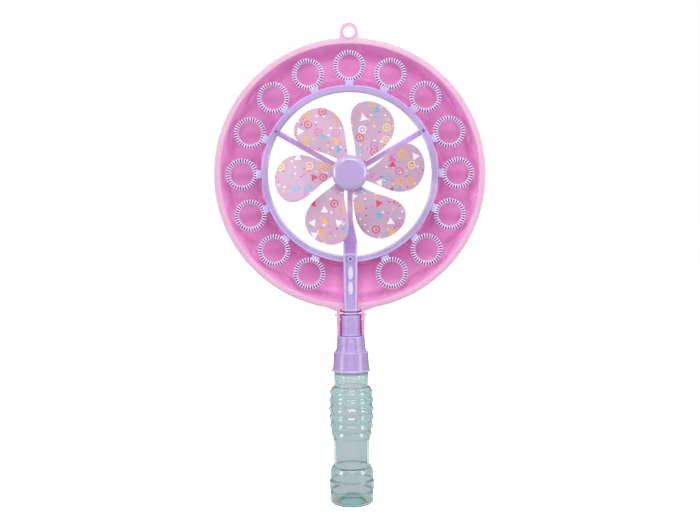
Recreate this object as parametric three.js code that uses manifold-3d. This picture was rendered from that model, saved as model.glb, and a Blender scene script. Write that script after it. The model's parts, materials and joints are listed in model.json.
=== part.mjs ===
// A windmill bubble toy: a wand whose ring carries toothed bubble loops and a pinwheel, lying in a
// round dipping dish, with a screw-on bottle as its handle.
// Millimetres, +Z up. The front faces -Y, and the bottle's base stands on z = 0.
import * as THREE from "three";
import { mergeVertices } from "three/addons/utils/BufferGeometryUtils.js";
import Module from "manifold-3d";

const wasm = await Module();
wasm.setup();

// Fit of pieces that seat on, or pass through, one another
const CLEARANCE = 0.3;
// How far a cutting solid runs past the faces that it cuts
const OVERSHOOT = 1;
// Vertices closer than this are one
const MERGE_DISTANCE = 1e-4;

// Bottle, from its base up
const BOTTLE_WALL = 1.2;
const BASE_RADIUS = 18.2;
const BASE_HEIGHT = 10.4;
const HEEL_RADIUS = 2.4;
const PUSH_UP_RADIUS = 11.2;
const PUSH_UP_HEIGHT = 5;
const PUSH_UP_TOP_RADIUS = 6.2;
const BAND_RADIUS = 18.7;
const BAND_HEIGHT = 9.6;
const HIP_RADIUS = 18.2;
const HIP_HEIGHT = 11.3;
const HIP_STRAIGHT = 3.8;
const BAND_GROOVE = 0.9;
const WAIST_RADIUS = 15.4;
const WAIST_HEIGHT = 22.7;
const FLUTE_COUNT = 8;
const FLUTE_DEPTH = 0.7;
const FLUTE_INSET = 2.8;
const RIB_COUNT = 6;
const FULLEST_RIB = 4;
const RIB_PITCH = 7.2;
const RIB_DEPTH = 1.3;
const GRIP_RADIUS = 19.1;
const GRIP_SWELL = 1.8;
const SHOULDER_HEIGHT = 1.4;
const NECK_RADIUS = 14.5;
const NECK_HEIGHT = 12.4;
const FINISH_RADIUS = 11.9;
const FINISH_HEIGHT = 12.6;
const FINISH_WALL = 2;

// Sealing liner and screw collar
const LINER_THICKNESS = 1.5;
const COLLAR_WALL = 2;
const COLLAR_EDGE = 0.5;
const COLLAR_LIP = 0.95;
const COLLAR_LIP_HEIGHT = 1.4;
const SKIRT_TAPER = 1;
const SKIRT_HEIGHT = 16.6;
const COLLAR_NECK_RADIUS = 12.25;
const COLLAR_NECK_TAPER = 0.5;
const COLLAR_NECK_HEIGHT = 13.2;
const COLLAR_NECK_FLARE = 1;
const COLLAR_NECK_FLARE_HEIGHT = 3.6;
const COLLAR_PAD_WIDTH = 5;
const COLLAR_PAD_HEIGHT = 10;
const COLLAR_PAD_PROUD = 0.8;

// Stem: plug and barrel, groove and flange, then the channelled bar
const BARREL_RADIUS = 8.1;
const BARREL_FOOT = 0.55;
const BARREL_FOOT_HEIGHT = 0.55;
const BARREL_FOOT_SLOPE = 1.1;
const BARREL_HEIGHT = 17.1;
const GROOVE_RADIUS = 5.6;
const GROOVE_HEIGHT = 3.9;
const KEY_THICKNESS = 1;
const KEY_REACH = 1.2;
const FLANGE_RADIUS = 8.35;
const FLANGE_THICKNESS = 1.4;
const BAR_WIDTH = 11.8;
const BAR_TAPER = 0.5;
const BAR_LENGTH = 39.9;
const BAR_FRONT = 2.6;
const BAR_RAIL = 1.7;
const BAR_CHANNEL = 1;
const HEAD_OVERLAP = 2.4;
const HEAD_ARCH = 1.6;
const BOSS_RADIUS = 2.4;
const PAD_LENGTH = 11;
const PAD_WIDTH = 4.2;
const PAD_PROUD = 0.5;
const PAD_COUNT = 2;
const PAD_PITCH = 13;

// Wand ring, a channel that is open at the back
const RING_INNER_RADIUS = 69.8;
const RING_WIDTH = 5;
const RING_DEPTH = 6;
const RING_FACE = 1.8;
const RING_WALL = 1.2;
const RING_LIP = 0.4;
const RING_LIP_WIDTH = 0.8;
const RING_CHAMFER = 0.9;

// Bubble loops: stations round the ring, one of which the stem takes
const LOOP_STATIONS = 16;
const LOOP_OUTER_RADIUS = 13.9;
const LOOP_INNER_RADIUS = 9.4;
const LOOP_DEPTH = 5.2;
const TOOTH_COUNT = 20;
const TOOTH_HEIGHT = 1.6;
const STUB_LENGTH = 2.8;
const STUB_WIDTH = 6.9;
const STUB_SETBACK = 0.6;

// Spider that carries the windmill, and the pins that hold it in the ring
const SPIDER_ARMS = 3;
const SPIDER_THICKNESS = 4;
const SPIDER_BACK = 2.5;
const SPIDER_HUB_RADIUS = 8;
const SPIDER_BOSS_RADIUS = 5;
const SPIDER_BOSS_HEIGHT = 3.5;
const ARM_WIDTH = 4.4;
const TONGUE_WIDTH = 3.4;
const TONGUE_THICKNESS = 2.4;
const FOOT_LENGTH = 20;
const FOOT_FLARE = 10;
const PIN_RADIUS = 0.8;
const PIN_HEAD_RADIUS = 1.3;
const PIN_HEAD_HEIGHT = 0.5;

// Windmill: axle, washer, rear hub, blades and cap
const AXLE_RADIUS = 1.6;
const AXLE_HEAD_RADIUS = 3;
const AXLE_HEAD_HEIGHT = 1.4;
const WASHER_RADIUS = 4;
const WASHER_THICKNESS = 1;
const REAR_SLEEVE_RADIUS = 4.5;
const REAR_SLEEVE_LENGTH = 3;
const REAR_PLATE_RADIUS = 12.5;
const REAR_PLATE_THICKNESS = 1.4;
const REAR_SPIGOT_LENGTH = 2.7;
const CAP_RADIUS = 14.85;
const CAP_HEIGHT = 7.6;
const CAP_EDGE = 3.6;
const CAP_INNER_EDGE = 1.8;
const CAP_WALL = 1.8;
const SOCKET_WALL = 1.4;
const BLADE_COUNT = 6;
const BLADE_THICKNESS = 0.8;
const BLADE_TIP_GAP = 7;
const BLADE_ROOT_GAP = 0.8;
const BLADE_ROOT_WIDTH = 6.6;
const BLADE_WIDTH = 39.2;
const BLADE_TIP_LENGTH = 16.3;
const BLADE_TIP_SWEEP = 83;
const BLADE_LEAN_ROOT = -2.4;
const BLADE_LEAN_TIP = 3.4;
const BLADE_LEAN_REACH = 41;
const BLADE_FIRST_ANGLE = 62;
const BLADE_PITCH = 14;

// Dish: a trough round an open middle, with a rim, a hang tab and a cradle for the stem
const DISH_WALL = 1.4;
const DISH_DEPTH = 22.2;
const RIM_RISE = 0.6;
const RIM_WIDTH = 4.8;
const RIM_LIP = 2.6;
const TROUGH_MARGIN = 4.6;
const HOLE_MARGIN = 1.8;
const OUTER_WALL_LEAN = 6;
const INNER_WALL_LEAN = 3;
const TROUGH_FILLET = 2.2;
const RIDGE_MARGIN = 1.6;
const SKIRT_LENGTH = 11.7;
const TAB_WIDTH = 15;
const TAB_FLARE = 0.6;
const TAB_RISE = 5.3;
const TAB_HOLE_RADIUS = 4.9;
const TAB_BEAD_WIDTH = 1;
const TAB_BEAD_PROUD = 0.4;
const CRADLE_GAP = 1.6;
const CRADLE_WALL = 1.4;
const DAM_THICKNESS = 1.4;
const EAR_REACH = 1.8;
const EAR_HEIGHT = 1.4;
const NUB_SIZE = 1.2;
const NUB_DROP = 5.2;

// Facets of the turned forms
const DISH_FACETS = 48;
const RING_FACETS = 48;
const BOTTLE_FACETS = 24;
const COLLAR_FACETS = 24;
const HUB_FACETS = 20;
const PIN_FACETS = 8;
const RIB_STEPS = 4;
const ARC_STEPS = 3;
const AXLE_FACETS = 12;
const BLADE_ROOT_STEPS = 6;
const BLADE_TIP_STEPS = 4;
const BLADE_ACROSS = 2;

// Heights of the stack of pieces on the handle's axis
const bandBase = BASE_HEIGHT;
const hipBase = bandBase + BAND_HEIGHT;
const waistBase = hipBase + HIP_HEIGHT;
const ribsBase = waistBase + WAIST_HEIGHT;
const ribsTop = ribsBase + RIB_COUNT * RIB_PITCH;
const neckBase = ribsTop + SHOULDER_HEIGHT;
const neckTop = neckBase + NECK_HEIGHT;
const mouth = neckTop + FINISH_HEIGHT;
const linerBase = mouth + CLEARANCE;
const linerTop = linerBase + LINER_THICKNESS;
const plugBase = linerTop + CLEARANCE;
const collarBase = neckTop + CLEARANCE;
const collarStep = collarBase + SKIRT_HEIGHT;
const collarTop = collarStep + COLLAR_NECK_HEIGHT;
const barrelBase = collarTop + CLEARANCE;
const grooveBase = barrelBase + BARREL_HEIGHT;
const flangeBase = grooveBase + GROOVE_HEIGHT;
const flangeTop = flangeBase + FLANGE_THICKNESS;
const ringBottom = flangeTop + BAR_LENGTH;
const headTop = ringBottom + RING_WIDTH + HEAD_OVERLAP;

// Radii about the windmill's axis, which lies along Y through the ring's centre
const ringOuter = RING_INNER_RADIUS + RING_WIDTH;
const axisHeight = ringBottom + ringOuter;
const loopPitch = ringOuter + STUB_LENGTH + LOOP_OUTER_RADIUS;
const wallTop = loopPitch + LOOP_OUTER_RADIUS + TROUGH_MARGIN;
const rimRadius = wallTop + RIM_WIDTH;
const outerFoot = wallTop - OUTER_WALL_LEAN;
const pinCircle = RING_INNER_RADIUS + RING_WIDTH / 2 - CLEARANCE;

// Depths along Y, from the ring's front face
const ringFront = -RING_DEPTH / 2;
const ringBack = RING_DEPTH / 2;
const headBack = ringFront - RING_LIP - CLEARANCE;
const barFront = ringFront - BAR_FRONT;
const rimFront = ringFront - RIM_RISE;
const ridgeTop = ringBack + CLEARANCE;
const troughFloor = rimFront + DISH_DEPTH;
const spiderFront = SPIDER_BACK - SPIDER_THICKNESS;
const bossFront = spiderFront - SPIDER_BOSS_HEIGHT;
const washerBack = bossFront - CLEARANCE;
const rearHubBack = washerBack - WASHER_THICKNESS - CLEARANCE;
const rearPlateBack = rearHubBack - REAR_SLEEVE_LENGTH;
const rearPlateFront = rearPlateBack - REAR_PLATE_THICKNESS;
const bladeBack = rearPlateFront - CLEARANCE;
const bladeFront = bladeBack - BLADE_THICKNESS;
const capBack = bladeFront - CLEARANCE;
const capFront = capBack - CAP_HEIGHT;
const spigotFront = rearPlateFront - REAR_SPIGOT_LENGTH;

const lavender = new THREE.MeshStandardMaterial({ color: 0xbba4dc, roughness: 0.35 });
const violet = new THREE.MeshStandardMaterial({ color: 0xae86d2, roughness: 0.35 });
const pink = new THREE.MeshStandardMaterial({ color: 0xd478b8, roughness: 0.4 });
const blush = new THREE.MeshStandardMaterial({ color: 0xd7b4d2, roughness: 0.2 });
const teal = new THREE.MeshStandardMaterial({
  color: 0xafcfcd,
  roughness: 0.08,
  transparent: true,
  opacity: 0.45,
});
const milky = new THREE.MeshStandardMaterial({ color: 0xeeeeee, roughness: 0.6 });
const steel = new THREE.MeshStandardMaterial({ color: 0xc4c6ca, roughness: 0.3, metalness: 1 });

// Closed geometry as a solid for joining and cutting
function solid(geometry) {
  const bare = geometry.clone();
  bare.deleteAttribute("normal");
  bare.deleteAttribute("uv");
  const merged = mergeVertices(bare, MERGE_DISTANCE);
  const mesh = new wasm.Mesh({
    numProp: 3,
    vertProperties: merged.attributes.position.array,
    triVerts: new Uint32Array(merged.index.array),
  });
  return new wasm.Manifold(mesh);
}

function geometryOf(body) {
  const mesh = body.getMesh();
  const geometry = new THREE.BufferGeometry();
  geometry.setAttribute("position", new THREE.BufferAttribute(mesh.vertProperties, 3));
  geometry.setIndex(new THREE.BufferAttribute(mesh.triVerts, 1));
  geometry.computeVertexNormals();
  return geometry;
}

function join(...pieces) {
  return geometryOf(pieces.map(solid).reduce((whole, piece) => whole.add(piece)));
}

function cut(geometry, ...tools) {
  return geometryOf(tools.map(solid).reduce((whole, tool) => whole.subtract(tool), solid(geometry)));
}

// Turned forms: a profile of [radius, height] points, anticlockwise, about Y or about Z
function turnedY(profile, facets) {
  const points = profile.map(([radius, height]) => new THREE.Vector2(radius, height));
  if (points[0].x > 0) points.push(points[0].clone());
  return new THREE.LatheGeometry(points, facets);
}

function turnedZ(profile, facets) {
  return turnedY(profile, facets).rotateX(Math.PI / 2);
}

// A flat outline in X and Z with a thickness along Y
function plate(shape, front, back) {
  const settings = { depth: back - front, bevelEnabled: false, curveSegments: 2 * ARC_STEPS };
  return new THREE.ExtrudeGeometry(shape, settings).rotateX(Math.PI / 2).translate(0, back, 0);
}

// A flat outline in X and Y with a height along Z
function slab(shape, bottom, top) {
  const settings = { depth: top - bottom, bevelEnabled: false, curveSegments: 2 * ARC_STEPS };
  return new THREE.ExtrudeGeometry(shape, settings).translate(0, 0, bottom);
}

function polygon(points) {
  return new THREE.Shape(points.map(([x, y]) => new THREE.Vector2(x, y)));
}

function block(x0, x1, y0, y1, z0, z1) {
  const box = new THREE.BoxGeometry(x1 - x0, y1 - y0, z1 - z0);
  return box.translate((x0 + x1) / 2, (y0 + y1) / 2, (z0 + z1) / 2);
}

function rodY(radius, front, back, facets) {
  const rod = new THREE.CylinderGeometry(radius, radius, back - front, facets);
  return rod.translate(0, (front + back) / 2, 0);
}

// A quarter of an ellipse in a profile: it leaves its first point level and ends upright
function quarterArc([startRadius, startHeight], [endRadius, endHeight]) {
  const points = [];
  for (let step = 0; step <= ARC_STEPS; step += 1) {
    const angle = ((Math.PI / 2) * step) / ARC_STEPS;
    points.push([
      startRadius + (endRadius - startRadius) * Math.sin(angle),
      startHeight + (endHeight - startHeight) * (1 - Math.cos(angle)),
    ]);
  }
  return points;
}

// From 0 to 1 along a half cosine, and flat outside
function ease(value) {
  return (1 - Math.cos(Math.PI * THREE.MathUtils.clamp(value, 0, 1))) / 2;
}

// Radius of the grip at a height: a swelling barrel with a rib at every pitch
function gripEnvelope(height) {
  const fullest = ribsBase + (FULLEST_RIB - 0.5) * RIB_PITCH;
  const reach = (FULLEST_RIB - 1) * RIB_PITCH;
  return GRIP_RADIUS - GRIP_SWELL * ((height - fullest) / reach) ** 2;
}

function gripRadius(height) {
  const turn = (2 * Math.PI * (height - ribsBase)) / RIB_PITCH;
  return gripEnvelope(height) - (RIB_DEPTH * (1 + Math.cos(turn))) / 2;
}

function bottleOutside() {
  const hip = quarterArc([WAIST_RADIUS, waistBase], [HIP_RADIUS, hipBase + HIP_STRAIGHT]).reverse();
  const profile = [
    [0, PUSH_UP_HEIGHT],
    [PUSH_UP_TOP_RADIUS, PUSH_UP_HEIGHT],
    [PUSH_UP_RADIUS, 0],
    ...quarterArc([BASE_RADIUS - HEEL_RADIUS, 0], [BASE_RADIUS, HEEL_RADIUS]),
    [BASE_RADIUS, bandBase - BAND_GROOVE],
    [BASE_RADIUS - BAND_GROOVE, bandBase],
    [BAND_RADIUS, bandBase + BAND_GROOVE],
    [BAND_RADIUS, hipBase - BAND_GROOVE],
    [HIP_RADIUS - BAND_GROOVE, hipBase],
    [HIP_RADIUS, hipBase + BAND_GROOVE],
    ...hip,
    [WAIST_RADIUS, waistBase + FLUTE_INSET],
    [WAIST_RADIUS, ribsBase - FLUTE_INSET],
  ];
  const steps = RIB_COUNT * RIB_STEPS;
  for (let step = 0; step <= steps; step += 1) {
    const height = ribsBase + (step / RIB_STEPS) * RIB_PITCH;
    profile.push([gripRadius(height), height]);
  }
  profile.push(
    [NECK_RADIUS, neckBase],
    [NECK_RADIUS, neckTop],
    [FINISH_RADIUS, neckTop],
    [FINISH_RADIUS, mouth],
  );
  return profile;
}

// The inside follows the outside smoothly, with no ribs
function bottleInside() {
  const finishBore = FINISH_RADIUS - FINISH_WALL;
  const neckBore = NECK_RADIUS - BOTTLE_WALL;
  const waistBore = WAIST_RADIUS - FLUTE_DEPTH - BOTTLE_WALL;
  const hipBore = HIP_RADIUS - BAND_GROOVE - BOTTLE_WALL;
  const baseBore = BASE_RADIUS - BAND_GROOVE - BOTTLE_WALL;
  const gripBore = (height) => gripEnvelope(height) - RIB_DEPTH - BOTTLE_WALL;
  const profile = [
    [finishBore, mouth],
    [finishBore, neckTop - BOTTLE_WALL],
    [neckBore, neckTop - 2 * BOTTLE_WALL],
    [neckBore, neckBase],
  ];
  for (let rib = RIB_COUNT - 1; rib > 0; rib -= 2) {
    const height = ribsBase + rib * RIB_PITCH;
    profile.push([gripBore(height), height]);
  }
  profile.push(
    [waistBore, ribsBase - BOTTLE_WALL],
    [waistBore, waistBase],
    [hipBore, hipBase + BAND_GROOVE],
    [baseBore, bandBase],
    [baseBore, HEEL_RADIUS + BOTTLE_WALL],
    [PUSH_UP_RADIUS + BOTTLE_WALL, BOTTLE_WALL],
    [PUSH_UP_TOP_RADIUS + BOTTLE_WALL, PUSH_UP_HEIGHT + BOTTLE_WALL],
    [0, PUSH_UP_HEIGHT + BOTTLE_WALL],
  );
  return profile;
}

// Upright flutes press the waist in between its ends
function fluteWaist(geometry) {
  const position = geometry.attributes.position;
  const bottom = waistBase + FLUTE_INSET / 2;
  const top = ribsBase - FLUTE_INSET / 2;
  for (let i = 0; i < position.count; i += 1) {
    const height = position.getZ(i);
    const radius = Math.hypot(position.getX(i), position.getY(i));
    const outside = radius > WAIST_RADIUS - BOTTLE_WALL / 2;
    if (!outside || height < bottom || height > top) continue;
    const angle = Math.atan2(position.getX(i), -position.getY(i));
    const scale = 1 - (FLUTE_DEPTH * ease((Math.cos(FLUTE_COUNT * angle) + 1) / 2)) / radius;
    position.setX(i, position.getX(i) * scale);
    position.setY(i, position.getY(i) * scale);
  }
  return geometry;
}

function bottleGeometry() {
  return fluteWaist(turnedZ([...bottleOutside(), ...bottleInside()], BOTTLE_FACETS));
}

function linerGeometry() {
  const profile = [
    [0, linerBase],
    [FINISH_RADIUS, linerBase],
    [FINISH_RADIUS, linerTop],
    [0, linerTop],
  ];
  return turnedZ(profile, COLLAR_FACETS);
}

function collarGeometry() {
  const bore = FINISH_RADIUS + 2 * CLEARANCE;
  const skirtTop = bore + COLLAR_WALL;
  const skirtFoot = skirtTop + SKIRT_TAPER;
  const lip = skirtFoot + COLLAR_LIP;
  const neckTopRadius = COLLAR_NECK_RADIUS - COLLAR_NECK_TAPER;
  const profile = [
    [bore, collarBase],
    [lip, collarBase],
    [lip, collarBase + COLLAR_LIP_HEIGHT],
    [skirtFoot, collarBase + COLLAR_LIP_HEIGHT],
    [skirtTop, collarStep - COLLAR_EDGE],
    [skirtTop - COLLAR_EDGE, collarStep],
    ...quarterArc(
      [COLLAR_NECK_RADIUS + COLLAR_NECK_FLARE, collarStep],
      [COLLAR_NECK_RADIUS, collarStep + COLLAR_NECK_FLARE_HEIGHT],
    ),
    [neckTopRadius, collarTop - COLLAR_EDGE],
    [neckTopRadius - COLLAR_EDGE, collarTop],
    [BARREL_RADIUS + CLEARANCE, collarTop],
    [BARREL_RADIUS + CLEARANCE, plugBase],
    [bore, plugBase],
  ];
  const padFront = -(COLLAR_NECK_RADIUS + COLLAR_PAD_PROUD);
  const padBack = -(BARREL_RADIUS + CLEARANCE + COLLAR_WALL / 2);
  const pad = block(
    -COLLAR_PAD_WIDTH / 2,
    COLLAR_PAD_WIDTH / 2,
    padFront,
    padBack,
    collarStep - COLLAR_WALL / 2,
    collarStep + COLLAR_PAD_HEIGHT,
  );
  return join(turnedZ(profile, COLLAR_FACETS), pad);
}

function stemTurning() {
  const foot = BARREL_RADIUS + BARREL_FOOT;
  return turnedZ(
    [
      [0, plugBase],
      [BARREL_RADIUS, plugBase],
      [BARREL_RADIUS, barrelBase],
      [foot, barrelBase],
      [foot, barrelBase + BARREL_FOOT_HEIGHT],
      [BARREL_RADIUS, barrelBase + BARREL_FOOT_HEIGHT + BARREL_FOOT_SLOPE],
      [BARREL_RADIUS, grooveBase],
      [GROOVE_RADIUS, grooveBase],
      [GROOVE_RADIUS, flangeBase],
      [FLANGE_RADIUS, flangeBase],
      [FLANGE_RADIUS, flangeTop],
      [0, flangeTop],
    ],
    HUB_FACETS,
  );
}

// A thin key crosses the groove and fills the notch of the dish's dam
function grooveKey() {
  const middle = grooveBase + GROOVE_HEIGHT / 2;
  const front = -(GROOVE_RADIUS + KEY_REACH);
  const half = KEY_THICKNESS / 2;
  return block(-GROOVE_RADIUS, GROOVE_RADIUS, front, 0, middle - half, middle + half);
}

// Half the width of the bar, which narrows towards its foot
function barHalf(height) {
  return BAR_WIDTH / 2 - (BAR_TAPER * (ringBottom - height)) / BAR_LENGTH;
}

function barOutline(inset, bottom, top) {
  const low = barHalf(bottom) - inset;
  const high = barHalf(top) - inset;
  return polygon([
    [-low, bottom],
    [low, bottom],
    [high, top],
    [-high, top],
  ]);
}

// The bar's front plate runs up over the ring and ends in a flat arch
function stemFrontPlate() {
  const shoulder = headTop - HEAD_ARCH;
  const foot = barHalf(flangeBase);
  const half = barHalf(shoulder);
  const shape = new THREE.Shape();
  shape.moveTo(-foot, flangeBase);
  shape.lineTo(foot, flangeBase);
  shape.lineTo(half, shoulder);
  shape.quadraticCurveTo(half, shoulder + HEAD_ARCH, 0, shoulder + HEAD_ARCH);
  shape.quadraticCurveTo(-half, shoulder + HEAD_ARCH, -half, shoulder);
  return plate(shape, barFront, headBack);
}

function stemPad(height) {
  const shape = new THREE.Shape();
  shape.absellipse(0, height, PAD_WIDTH / 2, PAD_LENGTH / 2, 0, 2 * Math.PI);
  const floor = barFront + BAR_CHANNEL;
  return plate(shape, floor - PAD_PROUD, floor + PAD_PROUD);
}

function stemGeometry() {
  const backTop = ringBottom - CLEARANCE;
  const back = plate(barOutline(0, flangeBase, backTop), headBack - CLEARANCE, ringBack);
  const floor = barFront + BAR_CHANNEL;
  const front = barFront - OVERSHOOT;
  const channel = plate(barOutline(BAR_RAIL, flangeTop + BAR_RAIL, headTop - BAR_RAIL), front, floor);
  const bar = cut(join(stemTurning(), grooveKey(), stemFrontPlate(), back), channel);
  const boss = rodY(BOSS_RADIUS, barFront, (floor + headBack) / 2, HUB_FACETS);
  const pinHole = rodY(PIN_RADIUS + CLEARANCE, front, headBack + OVERSHOOT, PIN_FACETS);
  const pinHeight = axisHeight - pinCircle;
  const firstPad = backTop - 2 * BAR_RAIL - PAD_LENGTH / 2;
  const raised = [boss.translate(0, 0, pinHeight)];
  for (let i = 0; i < PAD_COUNT; i += 1) {
    raised.push(stemPad(firstPad - i * PAD_PITCH));
  }
  return cut(join(bar, ...raised), pinHole.translate(0, 0, pinHeight));
}

// Angles of a pattern that starts at the stem, seen from the front and anticlockwise from +X
function patternAngle(index, count) {
  const down = -Math.PI / 2;
  return down + (index * 2 * Math.PI) / count;
}

function armAngle(arm) {
  return patternAngle(arm, SPIDER_ARMS);
}

function ringGeometry() {
  const outer = ringOuter;
  const inner = RING_INNER_RADIUS;
  const faceBack = ringFront + RING_FACE;
  const ring = turnedY(
    [
      [inner, ringFront + RING_CHAMFER],
      [inner + RING_CHAMFER, ringFront],
      [outer - RING_LIP_WIDTH, ringFront],
      [outer - RING_LIP_WIDTH, ringFront - RING_LIP],
      [outer, ringFront - RING_LIP],
      [outer, ringBack],
      [outer - RING_WALL, ringBack],
      [outer - RING_WALL, faceBack],
      [inner + RING_WALL, faceBack],
      [inner + RING_WALL, ringBack],
      [inner, ringBack],
    ],
    RING_FACETS,
  );
  const tools = [];
  for (let arm = 0; arm < SPIDER_ARMS; arm += 1) {
    const half = TONGUE_WIDTH / 2 + CLEARANCE;
    const notch = block(inner - OVERSHOOT, pinCircle, faceBack, ringBack + OVERSHOOT, -half, half);
    const hole = rodY(PIN_RADIUS + CLEARANCE, ringFront - OVERSHOOT, faceBack + OVERSHOOT, PIN_FACETS);
    tools.push(notch.rotateY(-armAngle(arm)));
    tools.push(hole.translate(pinCircle, 0, 0).rotateY(-armAngle(arm)));
  }
  return cut(ring, ...tools);
}

// A ring with teeth inside and outside, and a stub that runs back to the wand's ring
function loopGeometry() {
  const shape = new THREE.Shape();
  const hole = new THREE.Path();
  for (let i = 0; i < 2 * TOOTH_COUNT; i += 1) {
    const angle = (Math.PI * i) / TOOTH_COUNT;
    const tip = i % 2 === 0;
    const outer = tip ? LOOP_OUTER_RADIUS : LOOP_OUTER_RADIUS - TOOTH_HEIGHT;
    const inner = tip ? LOOP_INNER_RADIUS : LOOP_INNER_RADIUS + TOOTH_HEIGHT;
    const draw = i === 0 ? "moveTo" : "lineTo";
    shape[draw](outer * Math.cos(angle), outer * Math.sin(angle));
    hole[draw](inner * Math.cos(angle), inner * Math.sin(angle));
  }
  shape.closePath();
  hole.closePath();
  shape.holes.push(hole);
  const loop = plate(shape, -LOOP_DEPTH / 2, LOOP_DEPTH / 2);
  const near = -(LOOP_INNER_RADIUS + LOOP_OUTER_RADIUS) / 2;
  const far = -(LOOP_OUTER_RADIUS + STUB_LENGTH - CLEARANCE);
  const stubHalf = STUB_WIDTH / 2;
  const stubDepth = LOOP_DEPTH / 2 - STUB_SETBACK;
  return join(loop, block(far, near, -stubDepth, stubDepth, -stubHalf, stubHalf));
}

// One arm along +X, with a tongue that enters the ring and a hole for its pin
function armGeometry(wideFoot) {
  const end = RING_INNER_RADIUS - 2 * CLEARANCE;
  const narrow = ARM_WIDTH / 2;
  const wide = wideFoot ? BAR_WIDTH / 2 : narrow;
  const arm = polygon([
    [0, -narrow],
    [end - FOOT_LENGTH - FOOT_FLARE, -narrow],
    [end - FOOT_LENGTH, -wide],
    [end, -wide],
    [end, wide],
    [end - FOOT_LENGTH, wide],
    [end - FOOT_LENGTH - FOOT_FLARE, narrow],
    [0, narrow],
  ]);
  const tongueFront = ringFront + RING_FACE + CLEARANCE;
  const tongueEnd = ringOuter - RING_WALL - CLEARANCE;
  const tongue = block(
    end - narrow,
    tongueEnd,
    tongueFront,
    tongueFront + TONGUE_THICKNESS,
    -TONGUE_WIDTH / 2,
    TONGUE_WIDTH / 2,
  );
  const tongueBack = tongueFront + TONGUE_THICKNESS;
  const hole = rodY(PIN_RADIUS + CLEARANCE, tongueFront - OVERSHOOT, tongueBack + OVERSHOOT, PIN_FACETS);
  return cut(join(plate(arm, spiderFront, SPIDER_BACK), tongue), hole.translate(pinCircle, 0, 0));
}

function spiderGeometry() {
  const hub = turnedY(
    [
      [0, bossFront],
      [SPIDER_BOSS_RADIUS, bossFront],
      [SPIDER_BOSS_RADIUS, spiderFront],
      [SPIDER_HUB_RADIUS, spiderFront],
      [SPIDER_HUB_RADIUS, SPIDER_BACK],
      [0, SPIDER_BACK],
    ],
    HUB_FACETS,
  );
  const arms = [];
  for (let arm = 0; arm < SPIDER_ARMS; arm += 1) {
    arms.push(armGeometry(arm === 0).rotateY(-armAngle(arm)));
  }
  const bore = AXLE_RADIUS + CLEARANCE;
  const boreTool = rodY(bore, bossFront - OVERSHOOT, SPIDER_BACK + OVERSHOOT, AXLE_FACETS);
  return cut(join(hub, ...arms), boreTool);
}

// A pin with a round head; the one under the stem's head is longer
function pinGeometry(underHead) {
  const seat = underHead ? barFront : ringFront;
  const front = seat - CLEARANCE - PIN_HEAD_HEIGHT;
  const end = ringFront + RING_FACE + CLEARANCE + TONGUE_THICKNESS;
  return turnedY(
    [
      [0, front],
      [PIN_HEAD_RADIUS - PIN_HEAD_HEIGHT / 2, front],
      [PIN_HEAD_RADIUS, front + PIN_HEAD_HEIGHT],
      [PIN_RADIUS, front + PIN_HEAD_HEIGHT],
      [PIN_RADIUS, end],
      [0, end],
    ],
    PIN_FACETS,
  );
}

// The axle's heads lie behind the spider and in front of the rear hub's spigot
function axleGeometry() {
  const frontSeat = spigotFront - CLEARANCE;
  const backSeat = SPIDER_BACK + CLEARANCE;
  return turnedY(
    [
      [0, frontSeat - AXLE_HEAD_HEIGHT],
      [AXLE_HEAD_RADIUS, frontSeat - AXLE_HEAD_HEIGHT],
      [AXLE_HEAD_RADIUS, frontSeat],
      [AXLE_RADIUS, frontSeat],
      [AXLE_RADIUS, backSeat],
      [AXLE_HEAD_RADIUS, backSeat],
      [AXLE_HEAD_RADIUS, backSeat + AXLE_HEAD_HEIGHT],
      [0, backSeat + AXLE_HEAD_HEIGHT],
    ],
    AXLE_FACETS,
  );
}

function washerGeometry() {
  const bore = AXLE_RADIUS + CLEARANCE;
  return turnedY(
    [
      [bore, washerBack - WASHER_THICKNESS],
      [WASHER_RADIUS, washerBack - WASHER_THICKNESS],
      [WASHER_RADIUS, washerBack],
      [bore, washerBack],
    ],
    AXLE_FACETS,
  );
}

function rearHubGeometry() {
  const bore = AXLE_RADIUS + CLEARANCE;
  return turnedY(
    [
      [bore, spigotFront],
      [REAR_SLEEVE_RADIUS, spigotFront],
      [REAR_SLEEVE_RADIUS, rearPlateFront],
      [REAR_PLATE_RADIUS, rearPlateFront],
      [REAR_PLATE_RADIUS, rearPlateBack],
      [REAR_SLEEVE_RADIUS, rearPlateBack],
      [REAR_SLEEVE_RADIUS, rearHubBack],
      [bore, rearHubBack],
    ],
    HUB_FACETS,
  );
}

// A round-edged cup whose inner socket sits over the rear hub's spigot
function capGeometry() {
  const socketBore = REAR_SLEEVE_RADIUS + CLEARANCE;
  const socketOuter = socketBore + SOCKET_WALL;
  const inside = CAP_RADIUS - CAP_WALL;
  const roof = capFront + CAP_WALL;
  const profile = [
    [0, capFront],
    ...quarterArc([CAP_RADIUS - CAP_EDGE, capFront], [CAP_RADIUS, capFront + CAP_EDGE]),
    [CAP_RADIUS, capBack],
    [inside, capBack],
    [inside, roof + CAP_INNER_EDGE],
    [inside - CAP_INNER_EDGE, roof],
    [socketOuter, roof],
    [socketOuter, capBack],
    [socketBore, capBack],
    [socketBore, roof],
    [0, roof],
  ];
  return turnedY(profile, HUB_FACETS);
}

// Petal outline: half the width and the sideways lean at a distance from the axis
function bladeEnds() {
  const root = REAR_SLEEVE_RADIUS + CLEARANCE + SOCKET_WALL + BLADE_ROOT_GAP;
  const tip = RING_INNER_RADIUS - BLADE_TIP_GAP;
  return { root, widest: tip - BLADE_TIP_LENGTH };
}

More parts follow.
